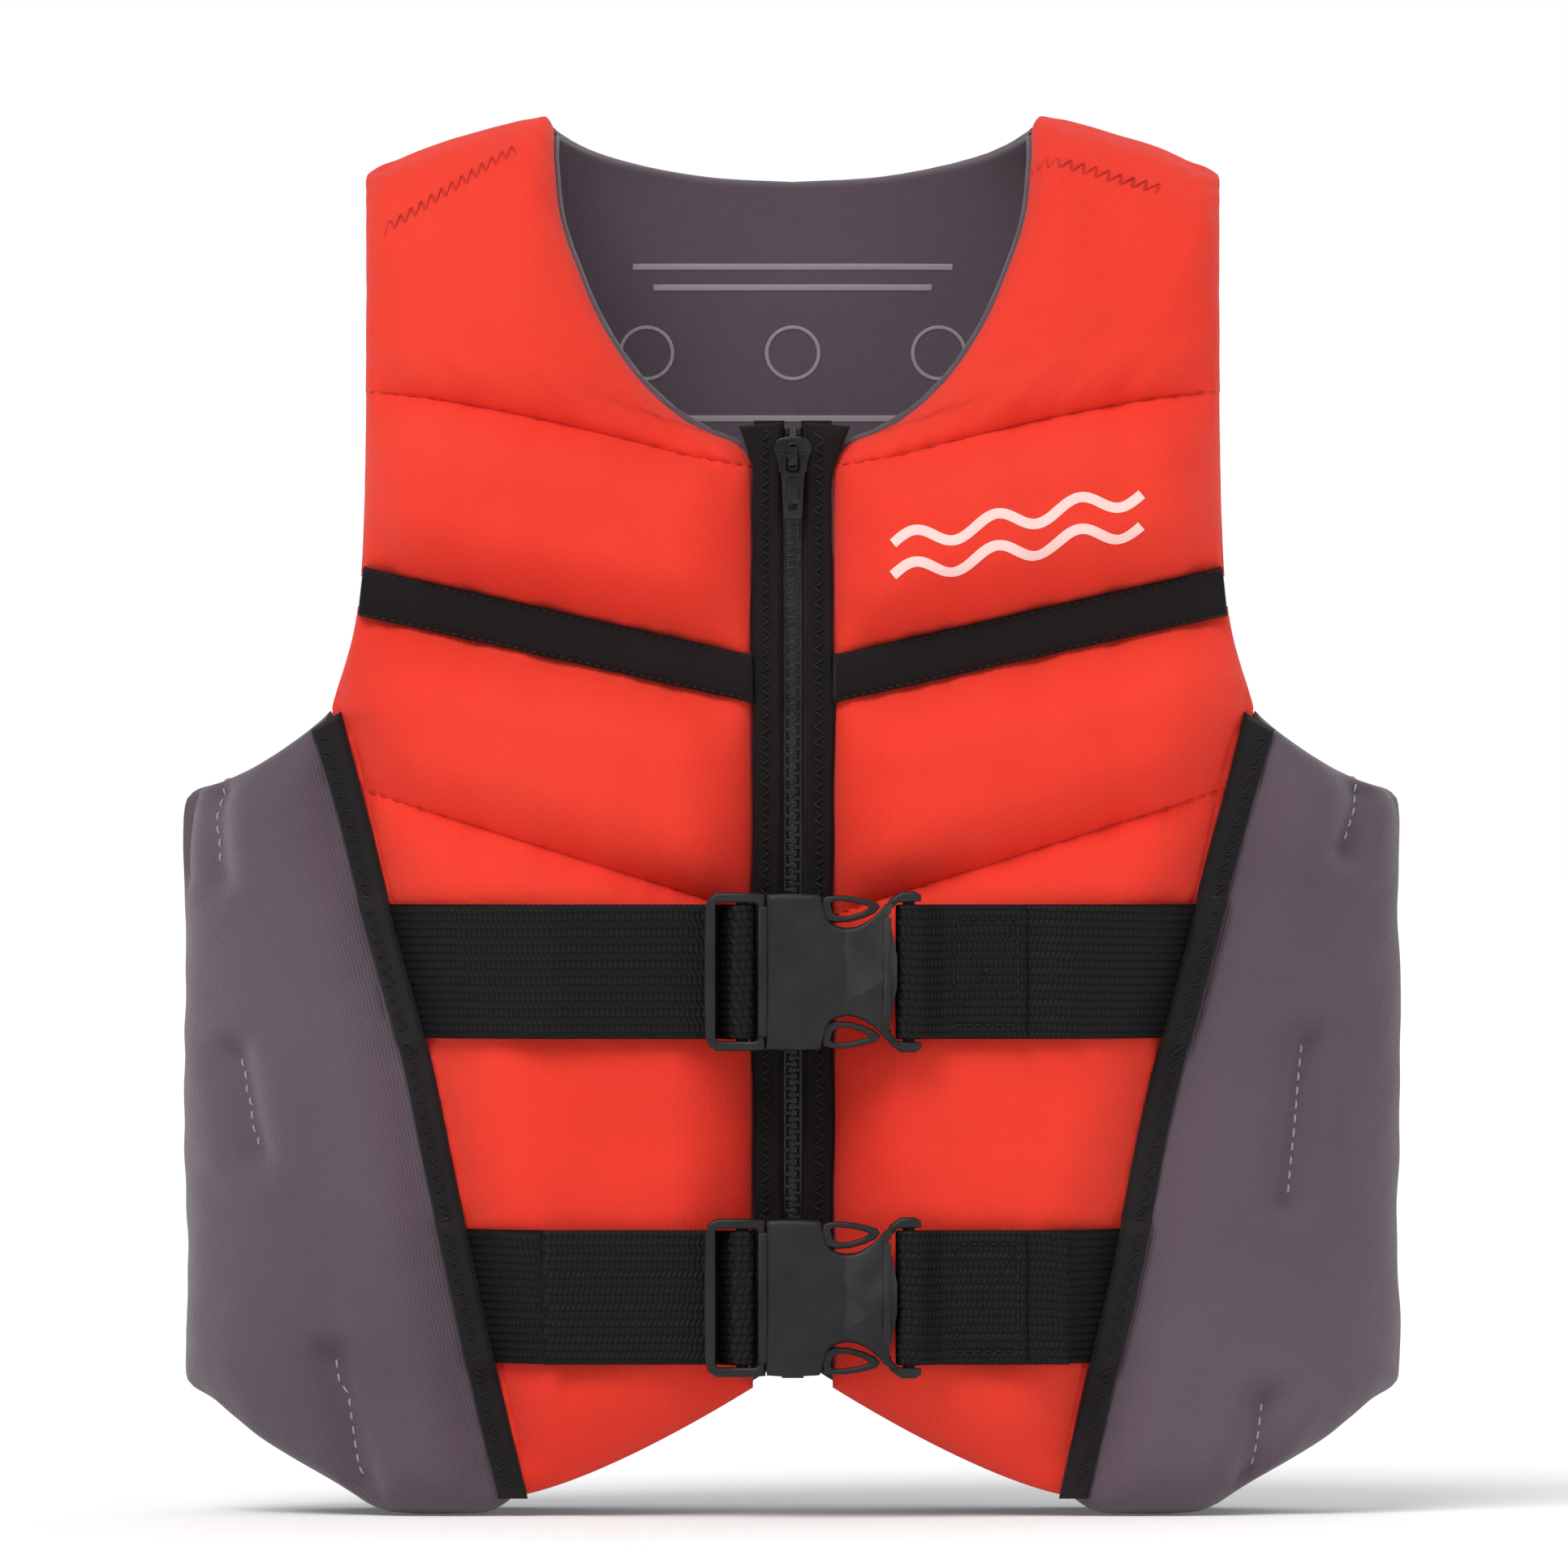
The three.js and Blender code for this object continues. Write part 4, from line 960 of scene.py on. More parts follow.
class Shader:
    """One material, with the nodes that feed its shader."""

    def __init__(self, name: str) -> None:
        """Starts the material.

        Args:
            name: Its name.
        """
        self.material = bpy.data.materials.new(name)
        self.material.use_nodes = True
        self.tree = self.material.node_tree
        self.shader = next(n for n in self.tree.nodes if n.type == "BSDF_PRINCIPLED")

    def node(self, kind: str, inputs: dict | None = None, **settings: object) -> bpy.types.Node:
        """Adds a node.

        Args:
            kind: Its type.
            inputs: Values or sockets for its inputs, by name or place.
            settings: Its settings.

        Returns:
            The node.
        """
        node = self.tree.nodes.new(kind)
        for key, value in settings.items():
            setattr(node, key, value)
        for key, value in (inputs or {}).items():
            if isinstance(value, Socket):
                self.tree.links.new(value, node.inputs[key])
            else:
                node.inputs[key].default_value = value
        return node

    def math(self, operation: str, first: object, second: object = 0.0) -> Socket:
        """The result of a sum on two values or sockets."""
        return self.node("ShaderNodeMath", {0: first, 1: second}, operation=operation).outputs[0]

    def noise(self, where: Socket, scale: float, detail: float = 3.0) -> Socket:
        """A random value that changes with place."""
        inputs = {"Vector": where, "Scale": scale, "Detail": detail}
        return self.node("ShaderNodeTexNoise", inputs).outputs["Fac"]

    def ramp(self, value: Socket, *stops: tuple[float, tuple]) -> Socket:
        """A colour for each value, through stops.

        Args:
            value: The value.
            stops: Values with their colours.

        Returns:
            The colour.
        """
        node = self.node("ShaderNodeValToRGB", {"Fac": value})
        elements = node.color_ramp.elements
        while len(elements) < len(stops):
            elements.new(0.5)
        for element, (place, color) in zip(elements, stops):
            element.position, element.color = place, color
        return node.outputs["Color"]

    def mix(self, share: object, first: object, second: object, blend: str = "MIX") -> Socket:
        """A mixture of two colours."""
        node = self.node("ShaderNodeMix", {0: share, 6: first, 7: second}, data_type="RGBA", blend_type=blend)
        return node.outputs[2]

    def place(self, name: str) -> Socket:
        """Where a point is, on the cloth or in the piece.

        Args:
            name: "cloth", or anything else for the piece.

        Returns:
            The place.
        """
        if name == "cloth":
            return self.node("ShaderNodeUVMap", uv_map="cloth").outputs[0]
        return self.node("ShaderNodeTexCoord").outputs["Object"]

    def wave(self, where: Socket, axis: int, period: float) -> Socket:
        """A smooth wave from 0 to 1 along one axis, with its period in millimetres.

        Args:
            where: The place of a point.
            axis: The axis.
            period: The length of a wave.

        Returns:
            The wave.
        """
        parts = self.node("ShaderNodeSeparateXYZ", {0: where})
        angle = self.math("MULTIPLY", parts.outputs[axis], ROUND / (period * MM))
        return self.math("MULTIPLY_ADD", self.math("SINE", angle), 0.5)

    def bump(self, height: Socket, depth: float, under: Socket | None = None) -> Socket:
        """Relief of a depth in millimetres.

        Args:
            height: Height of the surface, from 0 to 1.
            depth: The depth.
            under: Relief that it lies on.

        Returns:
            The relief.
        """
        inputs = {"Height": height, "Distance": depth * MM, "Strength": 1.0}
        if under is not None:
            inputs["Normal"] = under
        return self.node("ShaderNodeBump", inputs).outputs[0]

    def finish(self, color: object, normal: Socket, roughness: object, **values: object) -> Material:
        """Feeds the shader.

        Args:
            color: Its colour, as a value or a socket.
            normal: The relief.
            roughness: The roughness, as a value or a socket.
            values: Other values of the shader, set as they are.

        Returns:
            The material.
        """
        for key, value in {"Base Color": color, "Normal": normal, "Roughness": roughness}.items():
            if isinstance(value, Socket):
                self.tree.links.new(value, self.shader.inputs[key])
            else:
                self.shader.inputs[key].default_value = value
        for key, value in values.items():
            self.shader.inputs[key.replace("_", " ")].default_value = value
        return self.material


@dataclass(frozen=True)
class Knit:
    """Neoprene faced with a fine knit.

    Attributes:
        name: The material's name.
        color: Its middle colour.
        dark: Its darker random tone, and the colour of the painted shade in the hollows of the knit.
        light: Its colour on worn places.
        rib: Width of one rib of the knit.
        depth: Depth of the ribs.
        sheen: How much the nap shines.
    """

    name: str
    color: tuple
    dark: tuple
    light: tuple
    rib: float = 0.85
    depth: float = 0.10
    sheen: float = 0.25

    def material(self) -> Material:
        """Makes the material.

        Returns:
            The material.
        """
        s = Shader(self.name)
        cloth, space = s.place("cloth"), s.place("space")
        ribs = s.wave(cloth, 0, self.rib)
        rows = s.wave(cloth, 1, self.rib * 0.8)
        loops = s.math("MULTIPLY", ribs, s.math("MULTIPLY_ADD", rows, 0.5))
        fluff = s.noise(space, 2600, 2)
        blotch = s.noise(space, 9, 5)
        tone = s.ramp(blotch, (0.1, self.dark), (0.5, self.color), (0.9, self.light))
        # Painted shade: the colour darkens towards the dark colour in the hollows between the knit's loops.
        hollow_shaded = s.mix(s.math("MULTIPLY", s.math("SUBTRACT", 1.0, loops), 0.30), tone, self.dark)
        speck = s.mix(s.math("MULTIPLY", fluff, 0.22), hollow_shaded, self.light)
        relief = s.bump(loops, self.depth, s.bump(s.noise(space, 420, 5), 0.16))
        rough = s.math("MULTIPLY_ADD", blotch, 0.14)
        rough.node.inputs[2].default_value = 0.62
        return s.finish(speck, relief, rough, Sheen_Weight=self.sheen, Sheen_Roughness=0.45,
                        Specular_IOR_Level=0.14)


@dataclass(frozen=True)
class Woven:
    """Heavy webbing woven in ribs, or the thin tape of a zip.

    Attributes:
        name: The material's name.
        color: Its middle colour.
        light: The colour of the painted highlight on the crowns of the yarns.
        rib: Width of one rib.
        row: Length of one yarn.
        depth: Depth of the weave.
    """

    name: str
    color: tuple
    light: tuple
    rib: float = 2.3
    row: float = 1.5
    depth: float = 0.30

    def material(self) -> Material:
        """Makes the material.

        Returns:
            The material.
        """
        s = Shader(self.name)
        cloth, space = s.place("cloth"), s.place("space")
        parts = s.node("ShaderNodeSeparateXYZ", {0: cloth})
        across = s.math("MULTIPLY", parts.outputs[1], 1 / (self.rib * MM))
        slant = s.math("MULTIPLY", s.math("PINGPONG", across, 1.0), 0.55)
        along = s.math("ADD", s.math("MULTIPLY", parts.outputs[0], 1 / (self.row * MM)), slant)
        yarn = s.math("SINE", s.math("MULTIPLY", along, ROUND))
        rib = s.math("ABSOLUTE", s.math("SINE", s.math("MULTIPLY", across, math.pi)))
        shape = s.math("MULTIPLY_ADD", yarn, 0.3)
        shape.node.inputs[2].default_value = 0.7
        height = s.math("MULTIPLY", s.math("POWER", rib, 0.6), shape)
        fuzz = s.noise(space, 1800, 3)
        # Painted highlight: the colour lightens on the crowns of the yarns, flecked at random.
        tone = s.mix(s.math("MULTIPLY", height, s.math("MULTIPLY", fuzz, 1.3)), self.color, self.light)
        relief = s.bump(height, self.depth, s.bump(fuzz, 0.05))
        rough = s.math("MULTIPLY_ADD", fuzz, 0.2)
        rough.node.inputs[2].default_value = 0.42
        return s.finish(tone, relief, rough, Specular_IOR_Level=0.12)


@dataclass(frozen=True)
class Moulded:
    """Moulded plastic with a fine spark-eroded grain.

    Attributes:
        name: The material's name.
        color: Its middle colour.
        light: Its lighter colour, in random smears and on sharp edges.
        roughness: Its roughness.
        grain: Depth of the grain.
        scale: Fineness of the grain.
    """

    name: str
    color: tuple
    light: tuple
    roughness: float = 0.42
    grain: float = 0.03
    scale: float = 1500.0

    def material(self) -> Material:
        """Makes the material.

        Returns:
            The material.
        """
        s = Shader(self.name)
        space = s.place("space")
        grain, smear = s.noise(space, self.scale, 2), s.noise(space, 90, 4)
        tone = s.ramp(smear, (0.35, self.color), (0.75, self.light))
        # Lighter on sharp convex edges, where the pointiness is high.
        edge = s.node("ShaderNodeNewGeometry").outputs["Pointiness"]
        lighter = s.math("MULTIPLY", s.math("GREATER_THAN", edge, 0.56), 0.25)
        tone = s.mix(lighter, tone, self.light)
        relief = s.bump(grain, self.grain, s.bump(smear, 0.05))
        rough = s.math("MULTIPLY_ADD", smear, 0.16)
        rough.node.inputs[2].default_value = self.roughness - 0.08
        return s.finish(tone, relief, rough, Specular_IOR_Level=0.28)


@dataclass(frozen=True)
class Yarn:
    """Twisted sewing thread, or a printed line.

    Attributes:
        name: The material's name.
        color: Its middle colour.
        light: Its colour where it catches the light.
    """

    name: str
    color: tuple
    light: tuple

    def material(self) -> Material:
        """Makes the material.

        Returns:
            The material.
        """
        s = Shader(self.name)
        space = s.place("space")
        strand = s.noise(space, 3200, 1)
        tone = s.mix(strand, self.color, self.light)
        return s.finish(tone, s.bump(strand, 0.06), 0.55, Specular_IOR_Level=0.35)


class Finishes:
    """Every finish on the vest, made once."""

    def __init__(self) -> None:
        """Makes the materials."""
        self.red = Knit("red_knit", paint(232, 57, 40), paint(207, 39, 27), paint(237, 72, 53),
                        sheen=0.06).material()
        self.grey = Knit("grey_knit", paint(92, 79, 89), paint(70, 59, 68), paint(106, 93, 103),
                         rib=1.1, depth=0.16).material()
        self.inside = Knit("inside_knit", paint(97, 85, 94), paint(75, 64, 73), paint(109, 96, 105),
                           rib=1.0).material()
        self.black = Knit("black_knit", paint(20, 15, 16), paint(11, 8, 9), paint(34, 28, 29),
                          rib=0.7, sheen=0.05).material()
        self.binding = Knit("binding_knit", paint(26, 23, 24), paint(14, 12, 13), paint(44, 40, 41),
                            rib=0.7, sheen=0.1).material()
        # The lighter colours of the webbing and the zip tape are painted highlights on the crowns of the yarns.
        self.webbing = Woven("strap_weave", paint(5, 4, 4), paint(34, 31, 31)).material()
        self.tape = Woven("zip_tape_weave", paint(12, 10, 10), paint(36, 33, 33),
                          rib=1.1, row=0.9, depth=0.1).material()
        self.acetal = Moulded("buckle_acetal", paint(23, 22, 23), paint(35, 34, 35)).material()
        # The facet's finish: its coarser grain is real, and its lighter colours are partly a painted
        # reflection, as the facet catches more light than the rest of the buckle.
        self.sandy_and_glare = Moulded("buckle_sandy", paint(30, 29, 30), paint(54, 53, 54), 0.5, 0.08, 1100).material()
        self.zip = Moulded("zip_moulding", paint(19, 18, 19), paint(40, 38, 39), 0.28, 0.015).material()
        self.black_thread = Yarn("black_thread", paint(6, 5, 5), paint(22, 20, 20)).material()
        self.red_thread = Yarn("red_thread", paint(168, 22, 17), paint(206, 44, 34)).material()
        self.grey_thread = Yarn("grey_thread", paint(120, 112, 116), paint(176, 170, 172)).material()
        self.print = Yarn("pale_print", paint(244, 196, 190), paint(250, 214, 208)).material()
        self.dim_print = Yarn("dim_print", paint(150, 138, 144), paint(168, 158, 163)).material()


class Slot(Enum):
    """The finishes that the record names."""

    RED = "red_neoprene"
    GREY = "grey_neoprene"
    BLACK = "black_neoprene"
    WEBBING = "webbing"
    BUCKLE = "buckle_plastic"
    ZIP = "zip_plastic"
    TAPE = "zip_tape"


def dress(piece: Object, material: Material, nodes: Sequence[str] = (),
          body: str | None = BODY) -> Object:
    """Gives a piece its material and its place in the frame, and hides the CAD nodes that it stands for.

    Args:
        piece: The piece.
        material: Its material.
        nodes: The CAD nodes that it stands for.
        body: The body that it rides on, or None to leave it on no body, as for a webbing that runs between two.

    Returns:
        The piece.
    """
    piece.data.materials.append(material)
    if body:
        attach(piece, body)
    if nodes:
        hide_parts(*nodes)
    LOG.info("%s: %d faces", piece.name, len(piece.data.polygons))
    return piece


def sew(name: str, parts: Sequence[Solid], thread: Material) -> None:
    """Makes and dresses one piece of stitches or print."""
    dress(make(name, *joined(parts)), thread)


# ---------------------------------------------------------------- the cloth halves


@dataclass
class ClothSizes:
    """Thicknesses of the pads, and how they swell."""

    edge: float = 5.0
    edge_radius: float = 4.0
    front: float = 22.0
    yoke: float = 15.0
    crest: float = 6.0
    back: float = 20.0
    side: float = 13.0
    crown: float = 23.0
    trim_margin: float = 5.2
    trim_width: float = 8.2
    lining_near: float = -0.8
    lining_far: float = -2.8
    lining_least: float = -1.75
    stitch: float = 3.0
    stitch_pitch: float = 4.3
    step: float = 2.1


@dataclass
class FrontHalf:
    """One front half: its pads, band, inside and zip placket."""

    core: Core
    pattern: Pattern
    finishes: Finishes
    side: Side
    sizes: ClothSizes = field(default_factory=ClothSizes)

    def edge(self, low: float, high: float, outer: bool, short: float = 0.0) -> Line:
        """The inner or outer edge of a panel between two heights, as (x, travel).

        Args:
            low: Height of its lower end.
            high: Height of its upper end.
            outer: Whether it is the edge at the arm, and not the one at the zip.
            short: How far the edge at the arm is drawn in.

        Returns:
            The edge.
        """
        z = np.linspace(low, high, 30)
        x = self.pattern.outer_x(z) - short if outer else np.full_like(z, self.pattern.panel_inner)
        return Line(np.stack([x, self.core.front(x, z)], -1), curved=False)

    def neck_edge(self, extra: float = 0.0) -> Line:
        """The front neckline from the zip to the shoulder seam, as (x, travel).

        Args:
            extra: How far it is drawn in towards the neck.

        Returns:
            The edge.
        """
        points = smooth(np.array(self.pattern.neck, float))
        travel = self.core.front(points[:, 0], points[:, 1])
        rest = np.linspace(travel[-1], self.pattern.shoulder, 12)[1:]
        x = np.concatenate([points[:, 0], np.full(11, self.pattern.neck_half)])
        return Line(np.stack([x - extra, np.concatenate([travel, rest]) + extra * 0.6], -1), curved=False)

    def shoulder_edge(self) -> Line:
        """The armhole edge from the high seam over the shoulder, as (x, travel).

        Returns:
            The edge.
        """
        start = float(self.core.front(np.array(121.3), np.array(self.pattern.stitch_high[1])))
        travel = np.linspace(start, self.pattern.shoulder, 40)
        x = np.interp(travel, [start, 340, self.pattern.shoulder], [121.3, 121.0, 121.0])
        return Line(np.stack([x, travel], -1), curved=False)

    def build(self) -> None:
        """Makes and dresses every piece of the half."""
        self.lower = self._pads("lower")
        self.upper = self._pads("upper")
        self._band()
        self._inside()
        self._placket()
        self._seams()

    def _cells(self, which: str) -> list[Cell]:
        """The cells of the lower or the upper pads.

        Args:
            which: "lower" or "upper".

        Returns:
            The cells, from the bottom up.
        """
        p, tuck = self.pattern, 2.5
        low, high = p.band()
        if which == "lower":
            hem = float(p.hem_z(np.array(p.panel_inner)))
            return [
                Cell(self.edge(hem, p.stitch_low[0], False), self.edge(p.hem, p.stitch_low[1], True),
                     self.sizes.front, Edge.ROLLED, Edge.STITCHED),
                Cell(self.edge(p.stitch_low[0], low[0] + tuck, False),
                     self.edge(p.stitch_low[1], low[1] + tuck, True),
                     self.sizes.front, Edge.STITCHED, Edge.ROLLED),
            ]
        return [
            Cell(self.edge(high[0] - tuck, p.stitch_high[0], False),
                 self.edge(high[1] - tuck, p.stitch_high[1], True),
                 self.sizes.front, Edge.ROLLED, Edge.STITCHED),
            Cell(self.neck_edge(), self.shoulder_edge(), self.sizes.yoke, Edge.STITCHED, Edge.ROLLED),
        ]

    def _pads(self, which: str) -> Panel:
        """Makes the lower or the upper pads.

        Args:
            which: "lower" or "upper".

        Returns:
            The panel of their outside.
        """
        size, lower = self.sizes, which == "lower"
        columns = stations(105, size.step, Edge.ROLLED, Edge.ROLLED)
        panel = Panel.ruled(self.core, self.side, self._cells(which), columns, size.step,
                            self.pattern.hem_z if lower else None)
        away = panel.borders()
        seam = gap(panel.base, panel.base[panel.seams[1]])
        z = panel.base[..., 2]
        margin = 1 + (size.trim_margin - 1) * np.clip((self.pattern.armpit + 8 - z) / 14, 0, 1)
        band = "high" if lower else "low"
        free = "low" if lower else "high"
        over = np.clip((panel.travel - 318) / 40, 0, 1)
        run = size.crown - 16 * over
        rise = crown(away["first"], 0.6, run) * crown(away["last"], margin, run)
        rise *= crown(away[band], 3.0, size.crown - 3) * crown(away[free], 0.8, size.crown + 2 if lower else 9)
        valley = crown(seam, 0, size.crown - 4) ** 0.9
        shallow = 0.42 if lower else 0.30
        rise *= shallow + (1 - shallow) * valley
        full = panel.full
        if not lower:
            share = np.clip((panel.travel - panel.travel[panel.seams[1]][None]) / 14, 0, 1)
            full = size.front + (size.yoke - size.front) * share
            full = full - (size.yoke - size.crest) * np.clip((panel.travel - 342) / 46, 0, 1)
        nearest = least(*away.values())
        height = size.edge * roll(nearest, size.edge_radius - 2 * over) + (full - size.edge) * rise
        soft = np.clip(nearest / 10, 0, 1) * np.clip(seam / 9, 0.15, 1)
        seed = (11 if lower else 23) + 5 * self.side.value
        height += soft * (0.8 * ripple(panel.base, 46, seed) + 0.38 * ripple(panel.base, 17, seed + 1))
        height += pucker(seam, panel.across, 9.5, 1.0, 7) + pucker(seam, panel.across, 27, 1.2, 15)
        height += pucker(away[band], panel.across + 9, 31, 1.8, 17) * roll(away[band], 7)
        height += pucker(away[band], panel.across, 11, 1.3, 9) * roll(away[band], 5)
        height += pucker(away["last"], panel.up, 11, 0.9, 9) * roll(away["last"], 9)
        height += pucker(away["first"], panel.up, 12, 0.5, 6) * roll(away["first"], 6)
        if lower:
            height -= self._strap_dent(panel) * np.clip(away["last"] / 8, 0, 1)
        elif self.side is Side.RIGHT:
            height += self._pinch(panel) * np.clip(nearest / 6, 0, 1)
        height = np.clip(height, 0, full + 0.9)
        panel.raise_to(height)
        word, inserts = self.side.word, ("belly_foam", "rib_foam") if lower else ("chest_foam", "yoke_foam")
        piece = blanket(f"{word}_{which}_front_pads", panel.points, panel.base)
        nodes = [f"{word}_{part}" for part in (f"{which}_shell", *inserts)]
        dress(piece, self.finishes.red, nodes)
        return panel

    @staticmethod
    def _strap_dent(panel: Panel) -> np.ndarray:
        """How far the straps press into the pads.

        Args:
            panel: The pads.

        Returns:
            The depth at each point.
        """
        z = panel.base[..., 2]
        dent = np.zeros_like(z)
        for strap in Strap:
            dent += 1.3 / (1 + np.exp((np.abs(z - strap.value) - 20) / 1.6))
        return dent

    @staticmethod
    def _pinch(panel: Panel) -> np.ndarray:
        """The fold pinched into the cloth beside the top of the zip.

        Args:
            panel: The pads.

        Returns:
            A height for each point.
        """
        x, z = panel.x, panel.base[..., 2]
        along = np.clip(((x + 31) * 11 + (z - 315) * -15) / 346, 0, 1)
        away = np.hypot(x - (-31 + 11 * along), z - (315 - 15 * along))
        return 1.5 * np.exp(-(away / 3.2) ** 2) - 1.6 * np.exp(-((away - 5) / 3) ** 2)

    def _band(self) -> None:
        """Makes the black band across the chest."""
        (low_in, low_out), (high_in, high_out) = self.pattern.band()
        spread = 0.4
        cell = Cell(self.edge(low_in - spread, high_in + spread, False),
                    self.edge(low_out - spread, high_out + spread, True, 1.1), 0, Edge.ROLLED, Edge.ROLLED)
        panel = Panel.ruled(self.core, self.side, [cell], stations(112, 1.7, Edge.ROLLED, Edge.ROLLED), 1.2)
        away = panel.borders()
        nearest = least(*away.values())
        middle = np.clip(np.minimum(away["low"], away["high"]) / 6, 0, 1)
        height = 6.6 * roll(nearest, 1.4) + 0.9 * np.sin(middle * math.pi / 2)
        height += pucker(away["low"], panel.across, 7, 0.35, 2.5) * roll(nearest, 2)
        height += pucker(away["high"], panel.across + 3, 8, 0.35, 2.5) * roll(nearest, 2)
        height += 0.25 * ripple(panel.base, 19, 31 + self.side.value) * roll(nearest, 3)
        panel.raise_to(height)
        inner = self.core.place(panel.x, panel.travel, 0.4)
        word = self.side.word
        piece = blanket(f"{word}_chest_stripe", panel.points, inner)
        dress(piece, self.finishes.black, [f"{word}_chest_band"])
        thread = Tube(0.26)
        lines = [panel.along_row(1.25), panel.along_row(1.25, from_end=True)]
        seams = [thread.running(line.lifted(0.05), 1.7, 2.6) for line in lines]
        sew(f"{word}_chest_stripe_stitches", seams, self.finishes.black_thread)

    def _inside(self) -> None:
        """Makes the lining behind the half."""
        p, size = self.pattern, self.sizes
        hem = float(p.hem_z(np.array(p.panel_inner)))
        split_in, split_out = 230, 262
        cells = [
            Cell(self.edge(hem, split_in, False), self.edge(p.hem, split_out, True),
                 0, Edge.ROLLED, Edge.PLAIN),
            Cell(self.edge(split_in, p.stitch_high[0], False), self.edge(split_out, p.stitch_high[1], True),
                 0, Edge.PLAIN, Edge.PLAIN),
            Cell(self.neck_edge(1.1), self.shoulder_edge(), 0, Edge.PLAIN, Edge.ROLLED),
        ]
        columns = stations(105, 3, Edge.ROLLED, Edge.ROLLED)
        panel = Panel.ruled(self.core, self.side, cells, columns, 3.2, p.hem_z)
        nearest = least(*panel.borders().values())
        panel.raise_to(size.lining_near - 0.9 * (1 - roll(nearest, 1.2)))
        depth = size.lining_far + 0.9 * (1 - roll(nearest, 1.2)) + 0.15 * ripple(panel.base, 30, 5)
        inner = self.core.place(panel.x, panel.travel, np.minimum(depth, size.lining_least))
        word = self.side.word
        piece = blanket(f"{word}_front_inside", inner, panel.points)
        dress(piece, self.finishes.inside, [f"{word}_front_lining"])

    def _placket(self) -> None:
        """Makes the black strip beside the zip, with its zigzag."""
        p = self.pattern
        low = float(p.hem_z(np.array(p.facing_inner)))
        z = np.linspace(low, p.facing_top, 90)
        flare = p.facing_flare * np.clip((z - 296) / 10, 0, 1) ** 1.3
        wobble = 0.45 * np.sin(z / 17 + self.side.value) + 0.3 * np.sin(z / 6.1 + 2 * self.side.value)
        inner = Line(np.stack([np.full_like(z, p.facing_inner - 0.3), z], -1), False)
        outer = Line(np.stack([p.facing_outer + 0.5 + wobble + flare, z - 0.15 * flare], -1), False)
        panel = Panel.ruled(self.core, self.side, [Cell(inner, outer, 0, Edge.ROLLED, Edge.ROLLED)],
                            np.array([0, 0.03, 0.09, 0.18, 0.3, 0.42, 0.55, 0.68, 0.8, 0.9, 0.96, 1.0]), 1.5)
        away = panel.borders()
        nearest = least(*away.values())
        ridge = np.exp(-((away["first"] - 1.6) / 1.3) ** 2)
        groove = np.exp(-((away["first"] - 4.2) / 1.1) ** 2)
        wrinkle = np.clip((panel.base[..., 2] - 290) / 12, 0, 1)
        height = 1.4 + 2.3 * roll(nearest, 1.1) + 0.45 * ridge - 0.35 * groove
        height += 0.3 * ripple(panel.base, 12, 41 + self.side.value) * roll(nearest, 2)
        height += wrinkle * 0.6 * ripple(panel.base, 6, 45 + self.side.value) * roll(nearest, 2)
        panel.raise_to(height)
        word = self.side.word
        piece = blanket(f"{word}_placket", panel.points, self.core.place(panel.x, panel.travel, 1.3))
        dress(piece, self.finishes.black, [f"{word}_zip_facing"])
        seam = Tube(0.28).zigzag(panel.along_column(2.9), panel.along_column(6.0), 4.4)
        sew(f"{word}_placket_zigzag", [seam], self.finishes.black_thread)

    def _seams(self) -> None:
        """Sews the stitched channels and the shoulder seam."""
        lines = [panel.along_row(0, seam=panel.seams[1]).lifted(0.1) for panel in (self.lower, self.upper)]
        seams = [Tube(0.33).running(line, self.sizes.stitch, self.sizes.stitch_pitch) for line in lines]
        word = self.side.word
        sew(f"{word}_channel_stitches", seams, self.finishes.red_thread)
        (x0, z0), (x1, z1) = ((77, 382), (113, 359.5)) if self.side is Side.RIGHT else ((63.5, 381), (104, 370))
        lines = []
        for drop in (1.8, -1.8):
            x = np.linspace(x0, x1, 24)
            travel = self.core.front(x, np.linspace(z0, z1, 24) - drop)
            lines.append(self.upper.locate(x * self.side.value, travel))
        zigzag = Tube(0.28).zigzag(lines[0].lifted(0.1), lines[1].lifted(0.1), 3.6)
        sew(f"{word}_shoulder_zigzag", [zigzag], self.finishes.red_thread)


